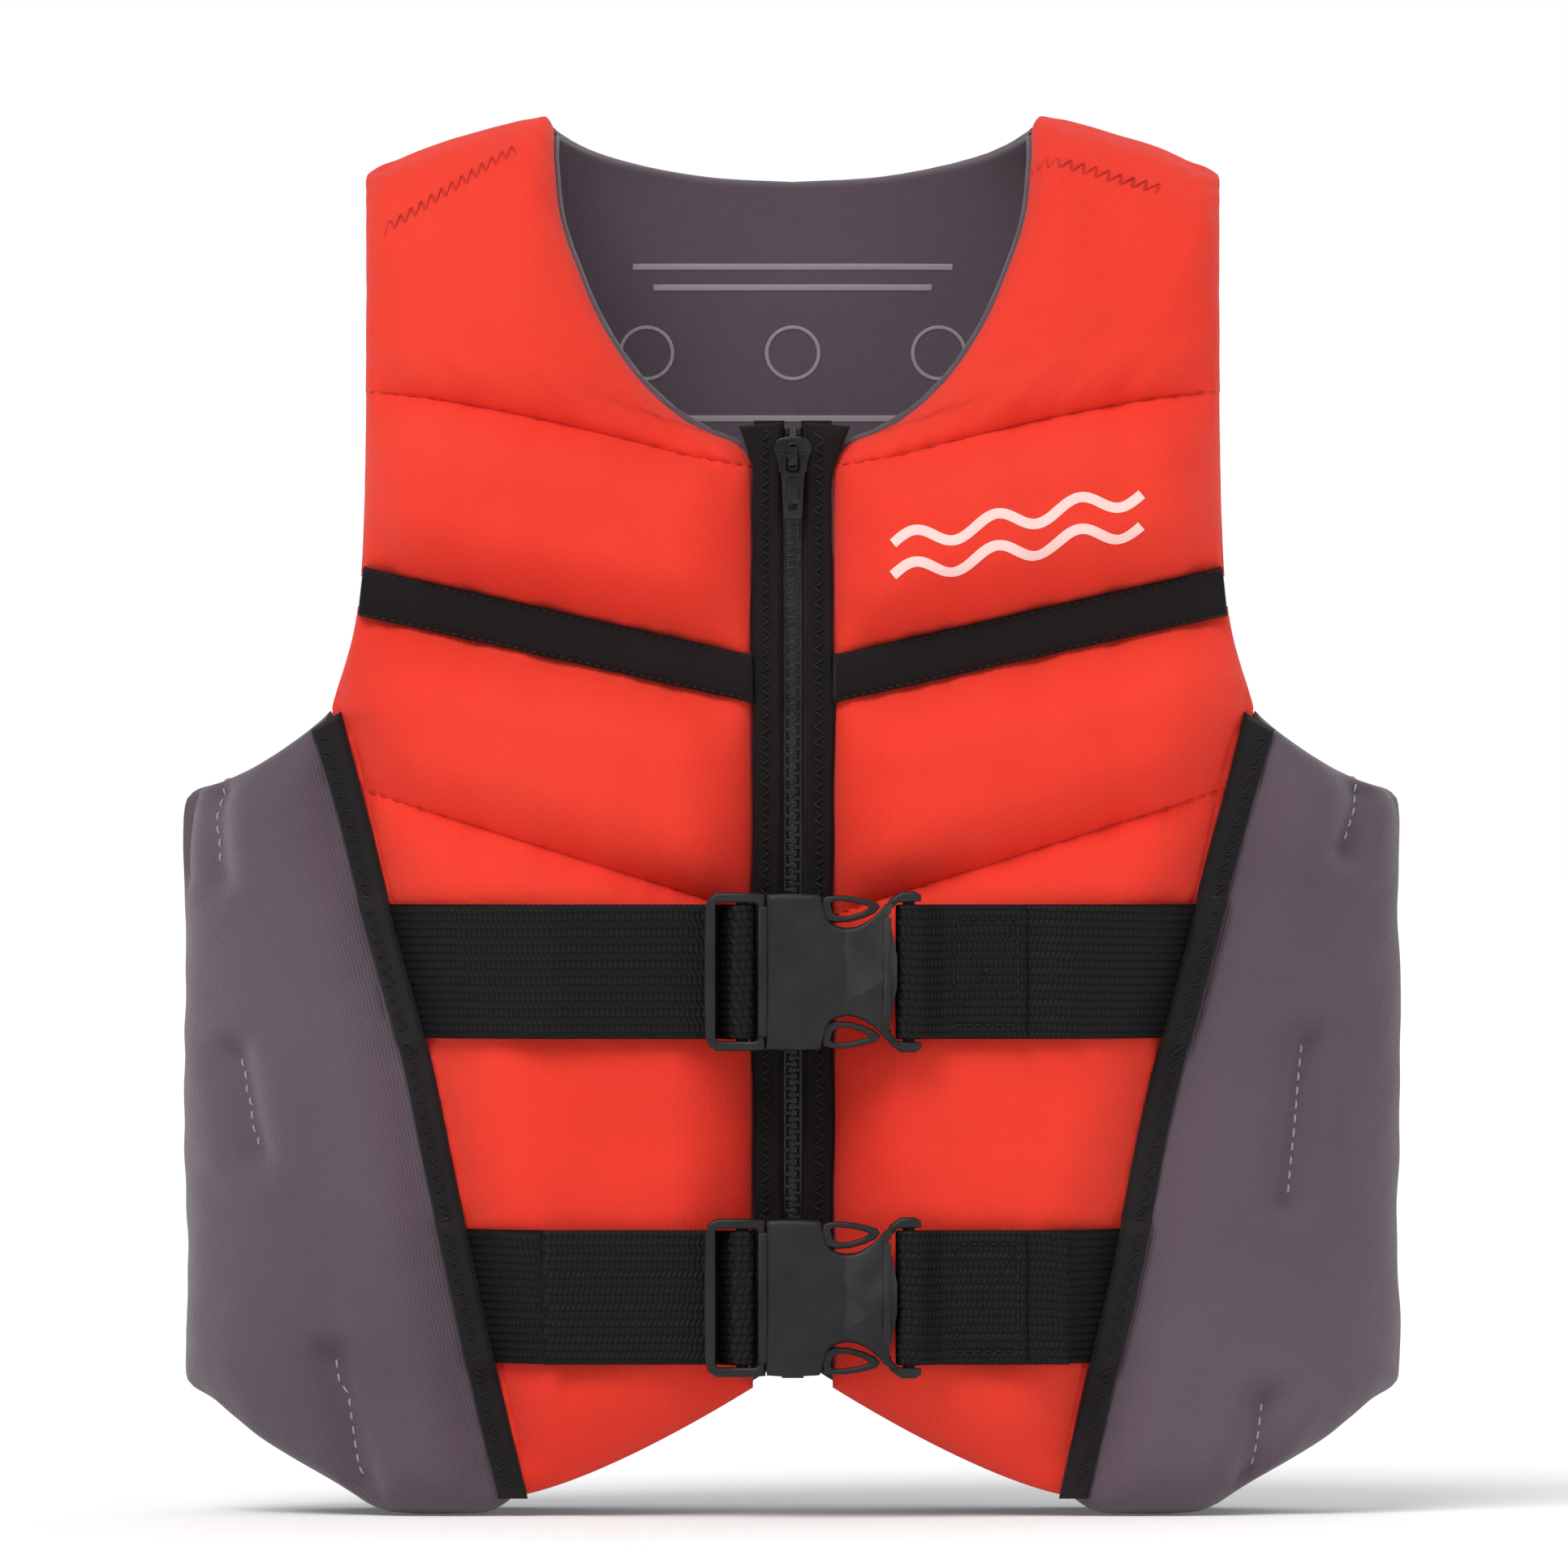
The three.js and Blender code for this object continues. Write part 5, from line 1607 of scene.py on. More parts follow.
@dataclass
class SidePanel:
    """The grey panel under one arm, its inside and its two bound seams."""

    core: Core
    pattern: Pattern
    finishes: Finishes
    side: Side
    sizes: ClothSizes = field(default_factory=ClothSizes)

    def _grid(self, columns: np.ndarray, rows: np.ndarray) -> tuple[np.ndarray, np.ndarray]:
        """Angles and heights of the panel's grid.

        Args:
            columns: Shares of the way round, 0 to 1 from the front seam to the back seam.
            rows: Shares of the way up.

        Returns:
            The angle and the height of each point.
        """
        p, share = self.pattern, 1 - np.abs(2 * columns - 1)
        hem, arm = smooth(np.array(p.side_hem, float)), smooth(np.array(p.side_arm, float))
        start = float(self.core.angle(np.array(79.2)))
        low = np.interp(self.core.across(start + (math.pi / 2 - start) * share), hem[:, 0], hem[:, 1])
        start = float(self.core.angle(np.array(131.2)))
        high = np.interp(self.core.across(start + (math.pi / 2 - start) * share), arm[:, 0], arm[:, 1])
        z = low + (high - low) * rows[:, None]
        begin = self.core.angle(p.trim_x(z) + 0.2)
        angle = begin + (math.pi / 2 - begin) * share[None]
        return np.where(columns[None] > 0.5, math.pi - angle, angle), z

    def build(self) -> None:
        """Makes and dresses every piece of the side."""
        size, word = self.sizes, self.side.word
        columns = stations(190, size.step, Edge.ROLLED, Edge.ROLLED)
        rows = stations(205, size.step, Edge.ROLLED, Edge.ROLLED)
        angle, z = self._grid(columns, rows)
        sheet = Sheet(self.core.place_round(self.side, angle, z, np.zeros_like(z)))
        away = sheet.borders()
        ends = np.minimum(away["low"], away["high"])
        seams = np.minimum(away["first"], away["last"])
        nearest = np.minimum(ends, seams)
        fold = np.cos(angle) ** 2
        square = np.exp(-fold / 0.05)
        rise = crown(seams, size.trim_margin, 15) * crown(ends, 0.3, 15 - 10 * square)
        height = size.edge * roll(nearest, size.edge_radius - 2 * square)
        height += (size.side - size.edge) * rise * (0.62 + 0.38 * np.clip(fold * 3.2, 0, 1))
        soft = np.clip(nearest / 9, 0, 1)
        seed = 61 + 7 * self.side.value
        height += soft * (0.9 * ripple(sheet.base, 48, seed) + 0.35 * ripple(sheet.base, 17, seed + 1))
        height += pucker(seams, sheet.up, 11, 0.7, 8) * roll(seams, 9)
        height += pucker(ends, sheet.across, 13, 0.5, 7) * roll(ends, 6)
        height -= self._tack_dimples(angle, z) * np.clip(nearest / 4, 0, 1)
        sheet.points = self.core.place_round(self.side, angle, z, np.maximum(height, 0))
        piece = blanket(f"{word}_side_pad", sheet.points, sheet.base)
        dress(piece, self.finishes.grey,
              [f"{word}_side_shell", f"{word}_side_front_foam", f"{word}_side_back_foam"])
        self._tacks(sheet, angle, z)
        near = self.core.place_round(self.side, angle, z, np.full_like(z, size.lining_near))
        far = size.lining_far + 0.8 * (1 - roll(nearest, 1.2))
        inside = self.core.place_round(self.side, angle, z, far)
        piece = blanket(f"{word}_side_inside", inside[::2, ::2], near[::2, ::2])
        dress(piece, self.finishes.inside, [f"{word}_side_lining"])
        for face in ("front", "back"):
            self._binding(face)

    def tack_lines(self) -> list[tuple[tuple[float, float], tuple[float, float]]]:
        """Ends of the three tacked lines on the front of the panel, as (x, z).

        Returns:
            The two ends of each.
        """
        if self.side is Side.RIGHT:
            return [((160, 210), (158, 181)), ((153, 130), (147.5, 102)), ((127, 43.5), (119.5, 9))]
        return [((159, 210), (152.5, 189)), ((142, 133), (137, 89)), ((130.5, 31), (128, 11))]

    def _front_x(self, angle: np.ndarray) -> np.ndarray:
        """Distance across on the panel's front, and far away on its back."""
        return np.where(angle < math.pi / 2, self.core.across(angle), 999)

    def _tack_dimples(self, angle: np.ndarray, z: np.ndarray) -> np.ndarray:
        """How far the tacked lines pull into the pad.

        Args:
            angle: Angle round the body of each point.
            z: Height of each point.

        Returns:
            The depth at each point.
        """
        x = self._front_x(angle)
        rim = 1 - np.clip((angle - 1.2) / 0.3, 0, 1)
        dent = np.zeros_like(z)
        for (x0, z0), (x1, z1) in self.tack_lines():
            run, climb = x1 - x0, z1 - z0
            share = np.clip(((x - x0) * run + (z - z0) * climb) / (run**2 + climb**2), 0, 1)
            away = np.hypot(x - x0 - share * run, z - z0 - share * climb)
            dent += 5.2 * np.exp(-(away / 4.8) ** 2) - 0.9 * np.exp(-((away - 10) / 4.5) ** 2) * rim
        return dent

    def _tacks(self, sheet: Sheet, angle: np.ndarray, z: np.ndarray) -> None:
        """Sews the tacked lines.

        Args:
            sheet: The panel's outside.
            angle: Angle round the body of each of its points.
            z: Height of each of its points.
        """
        x, parts = self._front_x(angle), []
        for start, end in self.tack_lines():
            spots = [np.unravel_index(np.argmin(np.hypot(x - px, z - pz)), x.shape)
                     for px, pz in np.linspace(start, end, 12)]
            row, column = np.array(spots).T
            parts.append(Tube(0.34).running(sheet.trace(row, column).lifted(0.1), 2.6, 4.0))
        sew(f"{self.side.word}_side_tacks", parts, self.finishes.grey_thread)

    def _binding(self, face: str) -> None:
        """Makes the flat strip that covers the seam at the front or the back of the panel.

        Args:
            face: Which of the two seams.
        """
        p, size = self.pattern, self.sizes
        z = np.linspace(p.hem - 0.6, p.armpit + 0.5, 130)
        shares = np.array([0, 0.02, 0.07, 0.15, 0.25, 0.38, 0.5, 0.62, 0.75, 0.85, 0.93, 0.98, 1.0])
        middle = p.trim_x(z)
        reach = size.trim_width / 2 * np.sqrt(1 + np.gradient(middle, z) ** 2)
        middle = middle + 0.175 * np.sin(z / 11 + self.side.value)
        x = middle[:, None] + (2 * shares[None] - 1) * reach[:, None]
        climb = z[:, None] - (0.9 + 5.0 * shares[None]) * (z[:, None] / p.armpit) ** 14
        travel = climb if face == "front" else self.core.whole - climb
        panel = Panel(self.core, x * self.side.value, travel)
        away = panel.borders()
        nearest = least(*away.values())
        lift = np.zeros_like(x)
        if face == "front":
            for strap in Strap:
                lift = np.maximum(lift, 1.9 * np.clip((22.5 - np.abs(climb - strap.value)) / 3, 0, 1))
        height = 5.0 + 1.9 * roll(nearest, 1.3) + lift + 0.25 * ripple(panel.base, 13, 71 + self.side.value)
        height += pucker(away["last"], panel.up, 4.3, 0.3, 1.6) * roll(nearest, 1.5)
        panel.raise_to(height)
        word = self.side.word
        under = self.core.place(panel.x, panel.travel, 4.6 + lift)
        piece = blanket(f"{word}_{face}_binding", panel.points, under)
        dress(piece, self.finishes.binding, [f"{word}_{face}_side_trim"])
        near, far = (panel.along_column(inset, from_end=True) for inset in (1.4, 5.2))
        seam = Tube(0.3).zigzag(near, far, 4.3)
        sew(f"{word}_{face}_binding_zigzag", [seam], self.finishes.black_thread)


@dataclass
class Back:
    """The back pads, which meet the front ones behind the top of the shoulder, and their inside."""

    core: Core
    pattern: Pattern
    finishes: Finishes
    sizes: ClothSizes = field(default_factory=ClothSizes)

    def _grid(self, step: float, extra: float = 0.0) -> tuple[np.ndarray, np.ndarray, int, list[int],
                                                              tuple[int, int]]:
        """Lays the whole back as one grid.

        Args:
            step: The usual distance between rows.
            extra: How much higher the neckline is.

        Returns:
            Distances across, travels, the row of the neckline, the seams' rows, and the
            columns at the two sides of the neck.
        """
        p = self.pattern
        half = stations(p.neck_half, step, Edge.PLAIN, Edge.ROLLED) * p.neck_half
        wing = stations(55, step, Edge.ROLLED, Edge.ROLLED)
        neck_curve = smooth(np.array(p.back_neck[::-1], float))
        rows_x, rows_t, seams = [], [], [0]
        wing_top = self.core.back(np.array(p.neck_half), np.array(p.back_wing_z + extra))
        lengths = (p.back_stitches[0], 114, 90, 52)
        last, highest = len(lengths) - 1, 380.0
        levels = [None, *p.back_stitches, None]
        for k, length in enumerate(lengths):
            ends = [Edge.STITCHED if k else Edge.ROLLED, Edge.STITCHED if k < last else Edge.ROLLED]
            bottom, ceiling = levels[k], levels[k + 1] or highest
            for share in stations(length, step, *ends)[1 if k else 0:]:
                guess = bottom + share * (ceiling - bottom) if k else p.hem + share * 110
                outer = float(p.outer_x(np.array(min(guess, highest))))
                right = np.concatenate([half, p.neck_half + wing[1:] * (outer - p.neck_half)])
                low = self.core.whole - p.hem_z(right)
                if k:
                    low = self.core.back(right, np.full_like(right, bottom))
                if k < last:
                    high = self.core.back(right, np.full_like(right, ceiling))
                else:
                    inside = np.minimum(right, p.neck_half)
                    top = np.interp(inside, neck_curve[:, 0], neck_curve[:, 1]) + extra
                    high = np.where(right < p.neck_half, self.core.back(inside, top), wing_top)
                travel = low + (high - low) * share
                rows_x.append(np.concatenate([-right[:0:-1], right]))
                rows_t.append(np.concatenate([travel[:0:-1], travel]))
            seams.append(len(rows_x) - 1)
        neck_row = len(rows_x) - 1
        x_last, t_last = rows_x[-1], rows_t[-1]
        ends = np.full_like(t_last, p.shoulder + 0.6)
        for share in stations(14, step, Edge.PLAIN, Edge.ROLLED)[1:]:
            rows_x.append(x_last)
            rows_t.append(t_last + (ends - t_last) * share)
        middle = (len(x_last) - 1) // 2
        columns = (middle - (len(half) - 1), middle + (len(half) - 1))
        return np.array(rows_x), np.array(rows_t), neck_row, seams, columns

    def build(self) -> None:
        """Makes and dresses the back and its inside."""
        size = self.sizes
        x, travel, neck, seams, columns = self._grid(size.step + 0.3)
        panel = Panel(self.core, x, travel)
        height = self._height(panel, neck, seams, columns)
        panel.raise_to(height)
        piece = make("back_pads", *self._parts(panel.points, panel.base, neck, columns))
        dress(piece, self.finishes.grey,
              ["back_shell", "back_lower_foam", "back_middle_foam", "back_upper_foam"])
        lines = [panel.along_row(0, seam=seam).lifted(0.1) for seam in seams[1:4]]
        channels = [Tube(0.33).running(line, size.stitch, size.stitch_pitch) for line in lines]
        sew("back_channel_stitches", channels, self.finishes.black_thread)
        self._inside()

    @staticmethod
    def _free_edges(panel: Sheet, neck: int, columns: tuple[int, int]) -> tuple[np.ndarray, ...]:
        """Distances from the outer edges, from the neckline and from the shoulder seams.

        Args:
            panel: The back.
            neck: The row of the neckline.
            columns: The columns at the two sides of the neck.

        Returns:
            The three distances at each point.
        """
        base = panel.base
        outer = np.minimum(gap(base, base[:, 0]), gap(base, base[:, -1]))
        left, right = columns
        line = np.vstack([base[neck:, left][::-1], base[neck, left:right + 1], base[neck:, right]])
        neckline = gap(base, line)
        seams = np.minimum(gap(base, base[-1, :left + 1]), gap(base, base[-1, right:]))
        return outer, neckline, seams

    def _height(self, panel: Panel, neck: int, seams: list[int], columns: tuple[int, int]) -> np.ndarray:
        """Heights of the quilted back.

        Args:
            panel: The back.
            neck: The row of the neckline.
            seams: The seams' rows.
            columns: The columns at the two sides of the neck.

        Returns:
            The height of each point.
        """
        size, base = self.sizes, panel.base
        outer, neckline, shoulder = self._free_edges(panel, neck, columns)
        hem = gap(base, base[0])
        below = np.clip((self.pattern.armpit + 8 - base[..., 2]) / 14, 0, 1)
        over = np.clip((500 - panel.travel) / 30, 0, 1)
        full = size.back - 8 * over - (size.back - 8 - size.crest) * np.clip((455 - panel.travel) / 42, 0, 1)
        margin = 1 + (size.trim_margin - 1) * below
        run = size.crown - 6 * over
        rise = crown(outer, margin, run) * crown(neckline, 0.8, run)
        for border in (shoulder, hem):
            rise *= crown(border, 0.8, run)
        for row in seams[1:4]:
            rise *= 0.3 + 0.7 * crown(gap(base, base[row]), 0, 19)
        nearest = least(outer, neckline, shoulder, hem)
        height = size.edge * roll(nearest, size.edge_radius) + (full - size.edge) * rise
        soft = np.clip(nearest / 10, 0, 1)
        height += soft * (0.6 * ripple(base, 50, 81) + 0.3 * ripple(base, 18, 82))
        for row in seams[1:4]:
            height += pucker(gap(base, base[row]), panel.across, 9, 0.7, 6) * soft
        height += pucker(outer, panel.up, 10, 0.5, 7) * roll(outer, 9)
        height += pucker(neckline, panel.across + panel.up, 9, 0.4, 5) * roll(neckline, 6)
        return np.clip(height, 0, full + 0.9)

    @staticmethod
    def _parts(outer: np.ndarray, inner: np.ndarray, neck: int, columns: tuple[int, int]) -> Solid:
        """Points, faces and places of a closed body over a grid that forks at the neckline.

        Args:
            outer: Points of the outside.
            inner: Points of the inside.
            neck: The row of the neckline.
            columns: The columns at the two sides of the neck.

        Returns:
            Points, faces and places on the cloth.
        """
        left, right = columns
        rows, across = outer.shape[:2]
        fine = np.arange(rows * across).reshape(rows, across)
        inside = fine + rows * across
        shut = np.zeros((rows, across), bool)
        shut[0] = shut[-1] = shut[:, 0] = shut[:, -1] = True
        shut[neck, left:right + 1] = True
        shut[neck:, left] = shut[neck:, right] = True
        inside = np.where(shut, fine, inside)
        faces = []
        for grid, flip in ((fine, False), (inside, True)):
            quads = np.stack([grid[:-1, :-1], grid[:-1, 1:], grid[1:, 1:], grid[1:, :-1]], -1)
            keep = np.ones(quads.shape[:2], bool)
            keep[neck:, left:right] = False
            chosen = quads[keep]
            faces += (chosen[:, ::-1] if flip else chosen).tolist()
        place = np.stack([spans(outer, 1), spans(outer, 0)], -1)
        points = np.vstack([outer.reshape(-1, 3), inner.reshape(-1, 3)])
        places = np.vstack([place.reshape(-1, 2)] * 2)
        used = np.unique(np.concatenate([np.array(face) for face in faces]))
        renumber = np.full(len(points), -1)
        renumber[used] = np.arange(len(used))
        return points[used], [renumber[np.array(face)].tolist() for face in faces], places[used]

    def _inside(self) -> None:
        """Makes the inside of the back, with its generic marks."""
        size = self.sizes
        x, travel, neck, _, columns = self._grid(3.4, extra=1.0)
        panel = Panel(self.core, x, travel)
        outer, neckline, shoulder = self._free_edges(panel, neck, columns)
        nearest = least(outer, neckline, shoulder, gap(panel.base, panel.base[0]))
        near = self.core.place(x, travel, size.lining_near - 0.9 * (1 - roll(nearest, 1.2)))
        depth = size.lining_far + 0.9 * (1 - roll(nearest, 1.2)) + 0.2 * ripple(panel.base, 34, 91)
        panel.points = self.core.place(x, travel, np.minimum(depth, size.lining_least))
        piece = make("back_inside", *self._parts(panel.points, near, neck, columns))
        dress(piece, self.finishes.inside, ["back_lining"])
        self._marks(panel)

    def _marks(self, panel: Panel) -> None:
        """Prints plain rings and bars on the inside of the back.

        Args:
            panel: The inside of the back.
        """
        parts = []
        turn = np.linspace(0, ROUND, 29)
        for middle in (-42, 0, 42):
            ring_x, ring_z = middle + 7.5 * np.cos(turn), 331 + 7.5 * np.sin(turn)
            trace = panel.locate(ring_x, self.core.back(ring_x, ring_z))
            parts.append(ribbon(trace.lifted(0.1), 1.0, 0.12))
        for z, half in ((356, 46), (350, 40), (312, 44)):
            bar_x = np.linspace(-half, half, 30)
            trace = panel.locate(bar_x, self.core.back(bar_x, np.full(30, float(z))))
            parts.append(ribbon(trace.lifted(0.1), 1.8, 0.12))
        sew("back_inside_marks", parts, self.finishes.dim_print)


@dataclass
class ChestMark:
    """A plain wave printed on the wearer's left chest."""

    front: FrontHalf
    finishes: Finishes

    def build(self) -> None:
        """Prints the mark."""
        parts = []
        for row in (0, 1):
            x = np.linspace(28, 96, 60)
            z = 254 + 0.205 * (x - 28) + 12 + 9 * row + 2.6 * np.sin((x - 28) / 68 * 3 * ROUND)
            parts.append(ribbon(self.front.upper.locate(x, z).evenly(1.2).lifted(0.06), 3.0, 0.16))
        sew("chest_wave_mark", parts, self.finishes.print)


# ---------------------------------------------------------------- zip


@dataclass
class Zip:
    """The zip: tapes, teeth, stops, slider, pull tab, box and pin."""

    core: Core
    finishes: Finishes
    pitch: float = 3.5
    bottom: float = 46.3
    top: float = 300.6
    tab_axis: float = 299.8
    tab_rise: float = 6.85

    @property
    def level(self) -> float:
        """Y that the zip's levels are measured from."""
        return self.core.middle_y - self.core.half_depth

    def build(self) -> None:
        """Makes and dresses every piece of the zip."""
        for side in Side:
            self._tape(side)
            self._teeth(side)
            stop = self._bar(side, 0.9, 2.4, -0.6, 1.9, 305.6, 308.0)
            self._mould(f"{side.word}_top_stop_block", [stop], f"{side.word}_top_stop")
        self._slider()
        self._tab()
        box = [bar(-3.1, 3.1, -1.8, 3.4, 38.6, 45.2, 0.8), bar(-2.3, 2.3, 3.0, 3.7, 39.6, 44.2, 0.3)]
        self._mould("zip_box", box, "retainer_box")
        self._mould("zip_pin", [bar(1.2, 2.3, 0.0, 1.6, 41, 46.4, 0.4)], "insertion_pin")

    def _mould(self, name: str, plates: Sequence[Plate], node: str, body: str = BODY) -> None:
        """Makes and dresses one moulding of the zip."""
        dress(moulding(name, plates, self.level), self.finishes.zip, [node], body)

    @staticmethod
    def _bar(side: Side, inner: float, outer: float, near: float, far: float, z0: float, z1: float) -> Plate:
        """A bar on one side of the zip."""
        x0, x1 = sorted((inner * side.value, outer * side.value))
        return bar(x0, x1, near, far, z0, z1, 0.5)

    def _tape(self, side: Side) -> None:
        """Makes one tape, with a woven cord along its edge.

        Args:
            side: The wearer's side.
        """
        x = np.array([2.4, 2.5, 2.9, 3.4, 4.0, 5.0, 7.0, 9.0, 10.9, 11.0]) * side.value
        z = np.linspace(45.6, 310, 176)
        across, up = np.meshgrid(x, z)
        cord = 0.45 * np.exp(-((np.abs(across) - 3.1) / 0.4) ** 2)
        ribs = 0.06 * np.sin(up / 1.6 * ROUND)
        points = lambda level: np.stack([across, self.level - level, up], -1)
        piece = blanket(f"{side.word}_zip_tape_web", points(1.0 + cord + ribs), points(np.full_like(up, 0.2)))
        dress(piece, self.finishes.tape, [f"{side.word}_zip_tape"])

    def _teeth(self, side: Side) -> None:
        """Makes one row of teeth on its spine.

        Args:
            side: The wearer's side.
        """
        tooth = Plate((((2.2, -0.62), (0.7, -0.62), (0.55, -0.95), (-1.15, -0.95), (-1.3, -0.6), (-1.3, 0.6),
                        (-1.15, 0.95), (0.55, 0.95), (0.7, 0.62), (2.2, 0.62)),), -0.6, 1.7, 0.28)
        points, faces, uv = tooth.build(self.level)
        points = points * (side.value, 1, 1)
        stagger = self.pitch / 2 if side is Side.LEFT else 0.0
        count = int((self.top - self.bottom - stagger - 1.4) / self.pitch)
        heights = [self.bottom + stagger + k * self.pitch + 1.0 for k in range(count + 1)]
        rows = [(points + (0, 0, height), faces, uv) for height in heights]
        spine = self._bar(side, 1.7, 2.9, -0.5, 1.55, self.bottom, self.top).build(self.level)
        piece = make(f"{side.word}_zip_teeth_row", *joined([*rows, spine]), sharp=35)
        dress(piece, self.finishes.zip, [f"{side.word}_zip_teeth"])

    def _slider(self) -> None:
        """Makes the slider with its bridge."""
        ring = mirrored([(3.3, 305.2), (4.4, 304.6), (5.4, 303.2), (5.5, 301.6), (4.7, 299.4), (4.15, 297.4),
                         (4.1, 295.4), (3.7, 295.0)], across=True)
        rail = [(3.9, 295.3), (4.1, 297.4), (4.7, 299.5), (5.4, 301.7), (4.7, 301.9), (3.7, 299.6),
                (3.1, 297.0), (3.0, 295.3)]
        twin = [(-x, z) for x, z in rail][::-1]
        plates = [
            Plate((ring,), 4.1, 5.6, 0.55), Plate((ring,), -2.4, -0.9, 0.5),
            Plate((rail,), -1.2, -0.15, 0.25), Plate((twin,), -1.2, -0.15, 0.25),
            bar(-1.2, 1.2, -1.4, 4.6, 301.6, 305.0, 0.4),
            bar(-1.25, 1.25, 5.2, 9.3, 296.0, 297.6, 0.5), bar(-1.25, 1.25, 5.2, 9.3, 302.0, 303.6, 0.5),
            bar(-1.3, 1.3, 7.95, 9.3, 296.0, 303.6, 0.55),
        ]
        self._mould("slider", plates, "zip_slider", "zip_slider")

    def _tab(self) -> None:
        """Makes the pull tab on its bar."""
        near, far, pin = self.tab_rise - 0.75, self.tab_rise + 0.75, 0.55
        body = mirrored([(2.35, 282.0), (2.75, 282.5), (3.15, 291.0), (3.6, 297.2), (3.6, 300.5), (3.3, 300.7),
                         (1.7, 300.7), (1.7, 296.2), (1.3, 295.5)], across=True)
        recess = mirrored([(1.35, 287.4), (1.6, 287.8), (1.85, 293.6), (1.5, 294.0)], across=True)
        hole = mirrored([(1.15, 284.5), (1.15, 286.2)], across=True)
        floor = mirrored([(2.0, 287.0), (2.2, 294.4)], across=True)
        plates = [
            Plate((body, recess, hole), near, far, 0.4), Plate((floor,), near + 0.35, far - 0.4, 0.1),
            bar(-3.4, 3.4, self.tab_rise - pin, self.tab_rise + pin,
                self.tab_axis - pin, self.tab_axis + pin, 0.5),
        ]
        self._mould("puller", plates, "pull_tab", "pull_tab")


# ---------------------------------------------------------------- straps and buckles


@dataclass
class StrapSet:
    """One strap: its two webbings and their stitches."""

    core: Core
    pattern: Pattern
    finishes: Finishes
    strap: Strap
    width: float = 38.0
    thickness: float = 1.5
    crown_depth: float = 60.0
    bend_depth: float = 62.0
    bend_start: float = -0.098
    bend_end: float = -0.028

    def build(self) -> None:
        """Makes and dresses the webbings."""
        self._webbing(Side.RIGHT, self._adjusting())
        self._webbing(Side.LEFT, self._fixed())

    def _adjusting(self) -> Outline:
        """The course round the adjuster's middle bar and back as a tail, as (x, level).

        Returns:
            The course.
        """
        return [(-70, 3.0), (-58, 3.2), (-40, 3.2), (-26, 3.2), (-21.5, 3.3), (-19.8, 4.9), (-18.4, 7),
                (-17.4, 8.8), (-15.8, 9.6), (-12.9, 9.6), (-11.6, 9.2), (-11.2, 8), (-11.2, 3.6), (-11.9, 1.9),
                (-13.8, 1.2), (-26, 1.2), (-40, 1.2), (-62, 1.0)]

    def _fixed(self) -> Outline:
        """The course round the socket's end bar and back on itself, as (x, level).

        Returns:
            The course.
        """
        return [(88, 1.2), (78, 1.2), (66, 1.2), (44, 1.2), (39, 2.6), (35, 4.4), (31.2, 4.4), (29.9, 5.2),
                (29.7, 7), (29.9, 8.8), (31.2, 9.6), (34.2, 9.6), (36.5, 8.4), (40, 5.2), (45, 3.2), (66, 3.2)]

    def _anchor(self, side: Side, z: np.ndarray) -> np.ndarray:
        """Stations from the side seam up on to the pads, for each height.

        Args:
            side: The wearer's side.
            z: Heights of the webbing's threads.

        Returns:
            The stations at each height.
        """
        climb = ((-2.5, 6.05), (1.0, 6.1), (4.6, 6.6), (7.6, 10.5), (11.0, 14.8), (15.5, 18.9),
                 (20.5, 21.6), (27, 23.6))
        x = self.pattern.trim_x(z)
        return np.stack([self.core.place((x - inset) * side.value, z, height) for inset, height in climb], 1)

    def _webbing(self, side: Side, course: Outline) -> None:
        """Makes one webbing.

        Args:
            side: The wearer's side that it is sewn into.
            course: Its course beyond the pads.
        """
        half = self.width / 2
        brink = half - np.array([0, 0.1, 0.4])
        rows = np.concatenate([-brink, np.linspace(1.2 - half, half - 1.2, 15), brink[::-1]])
        edge = roll(half - np.abs(rows), 0.7)
        z = self.strap.value + rows
        anchor = self._anchor(side, z)
        start = 1 if side is Side.LEFT else 0
        level = np.array([(x, self.core.middle_y - self.crown_depth - up) for x, up in course[start:]])
        path = []
        for k, height in enumerate(z):
            flat = np.column_stack([level, np.full(len(level), height)])
            path.append(smooth(np.vstack([anchor[k], flat]), 7))
        grid = np.stack(path)
        lengths = spans(grid, 1)
        even = np.linspace(0, 1, int(lengths[0, -1] / 1.1))
        grid = np.stack([np.stack([np.interp(even * length[-1], length, line[:, c]) for c in range(3)], -1)
                         for line, length in zip(grid, lengths)])
        along = np.gradient(grid, axis=1)
        normal = np.stack([along[..., 1], -along[..., 0], np.zeros_like(along[..., 0])], -1)
        normal /= np.linalg.norm(normal, axis=-1, keepdims=True)
        cap = roll(np.minimum(even, 1 - even) * lengths[0, -1], 0.6)
        lift = (self.thickness / 2 * edge[:, None] * cap[None])[..., None]
        first, second = grid + normal * lift, grid - normal * lift
        front = first if first[0, 5, 1] < second[0, 5, 1] else second
        rear = second if front is first else first
        word = self.strap.word
        points, faces, uv = Blanket(front, rear, skip=1).build()
        piece = make(f"{side.word}_{word}_strap", points, faces, uv, sharp=60)
        node = f"{side.word}_{word}_webbing"
        if side is Side.RIGHT:
            dress(piece, self.finishes.webbing, [node], None)
            y, z = (self.core.middle_y - self.bend_depth) * MM, self.strap.value * MM
            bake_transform(piece)
            return
        dress(piece, self.finishes.webbing, [node])
        self._box_stitch()

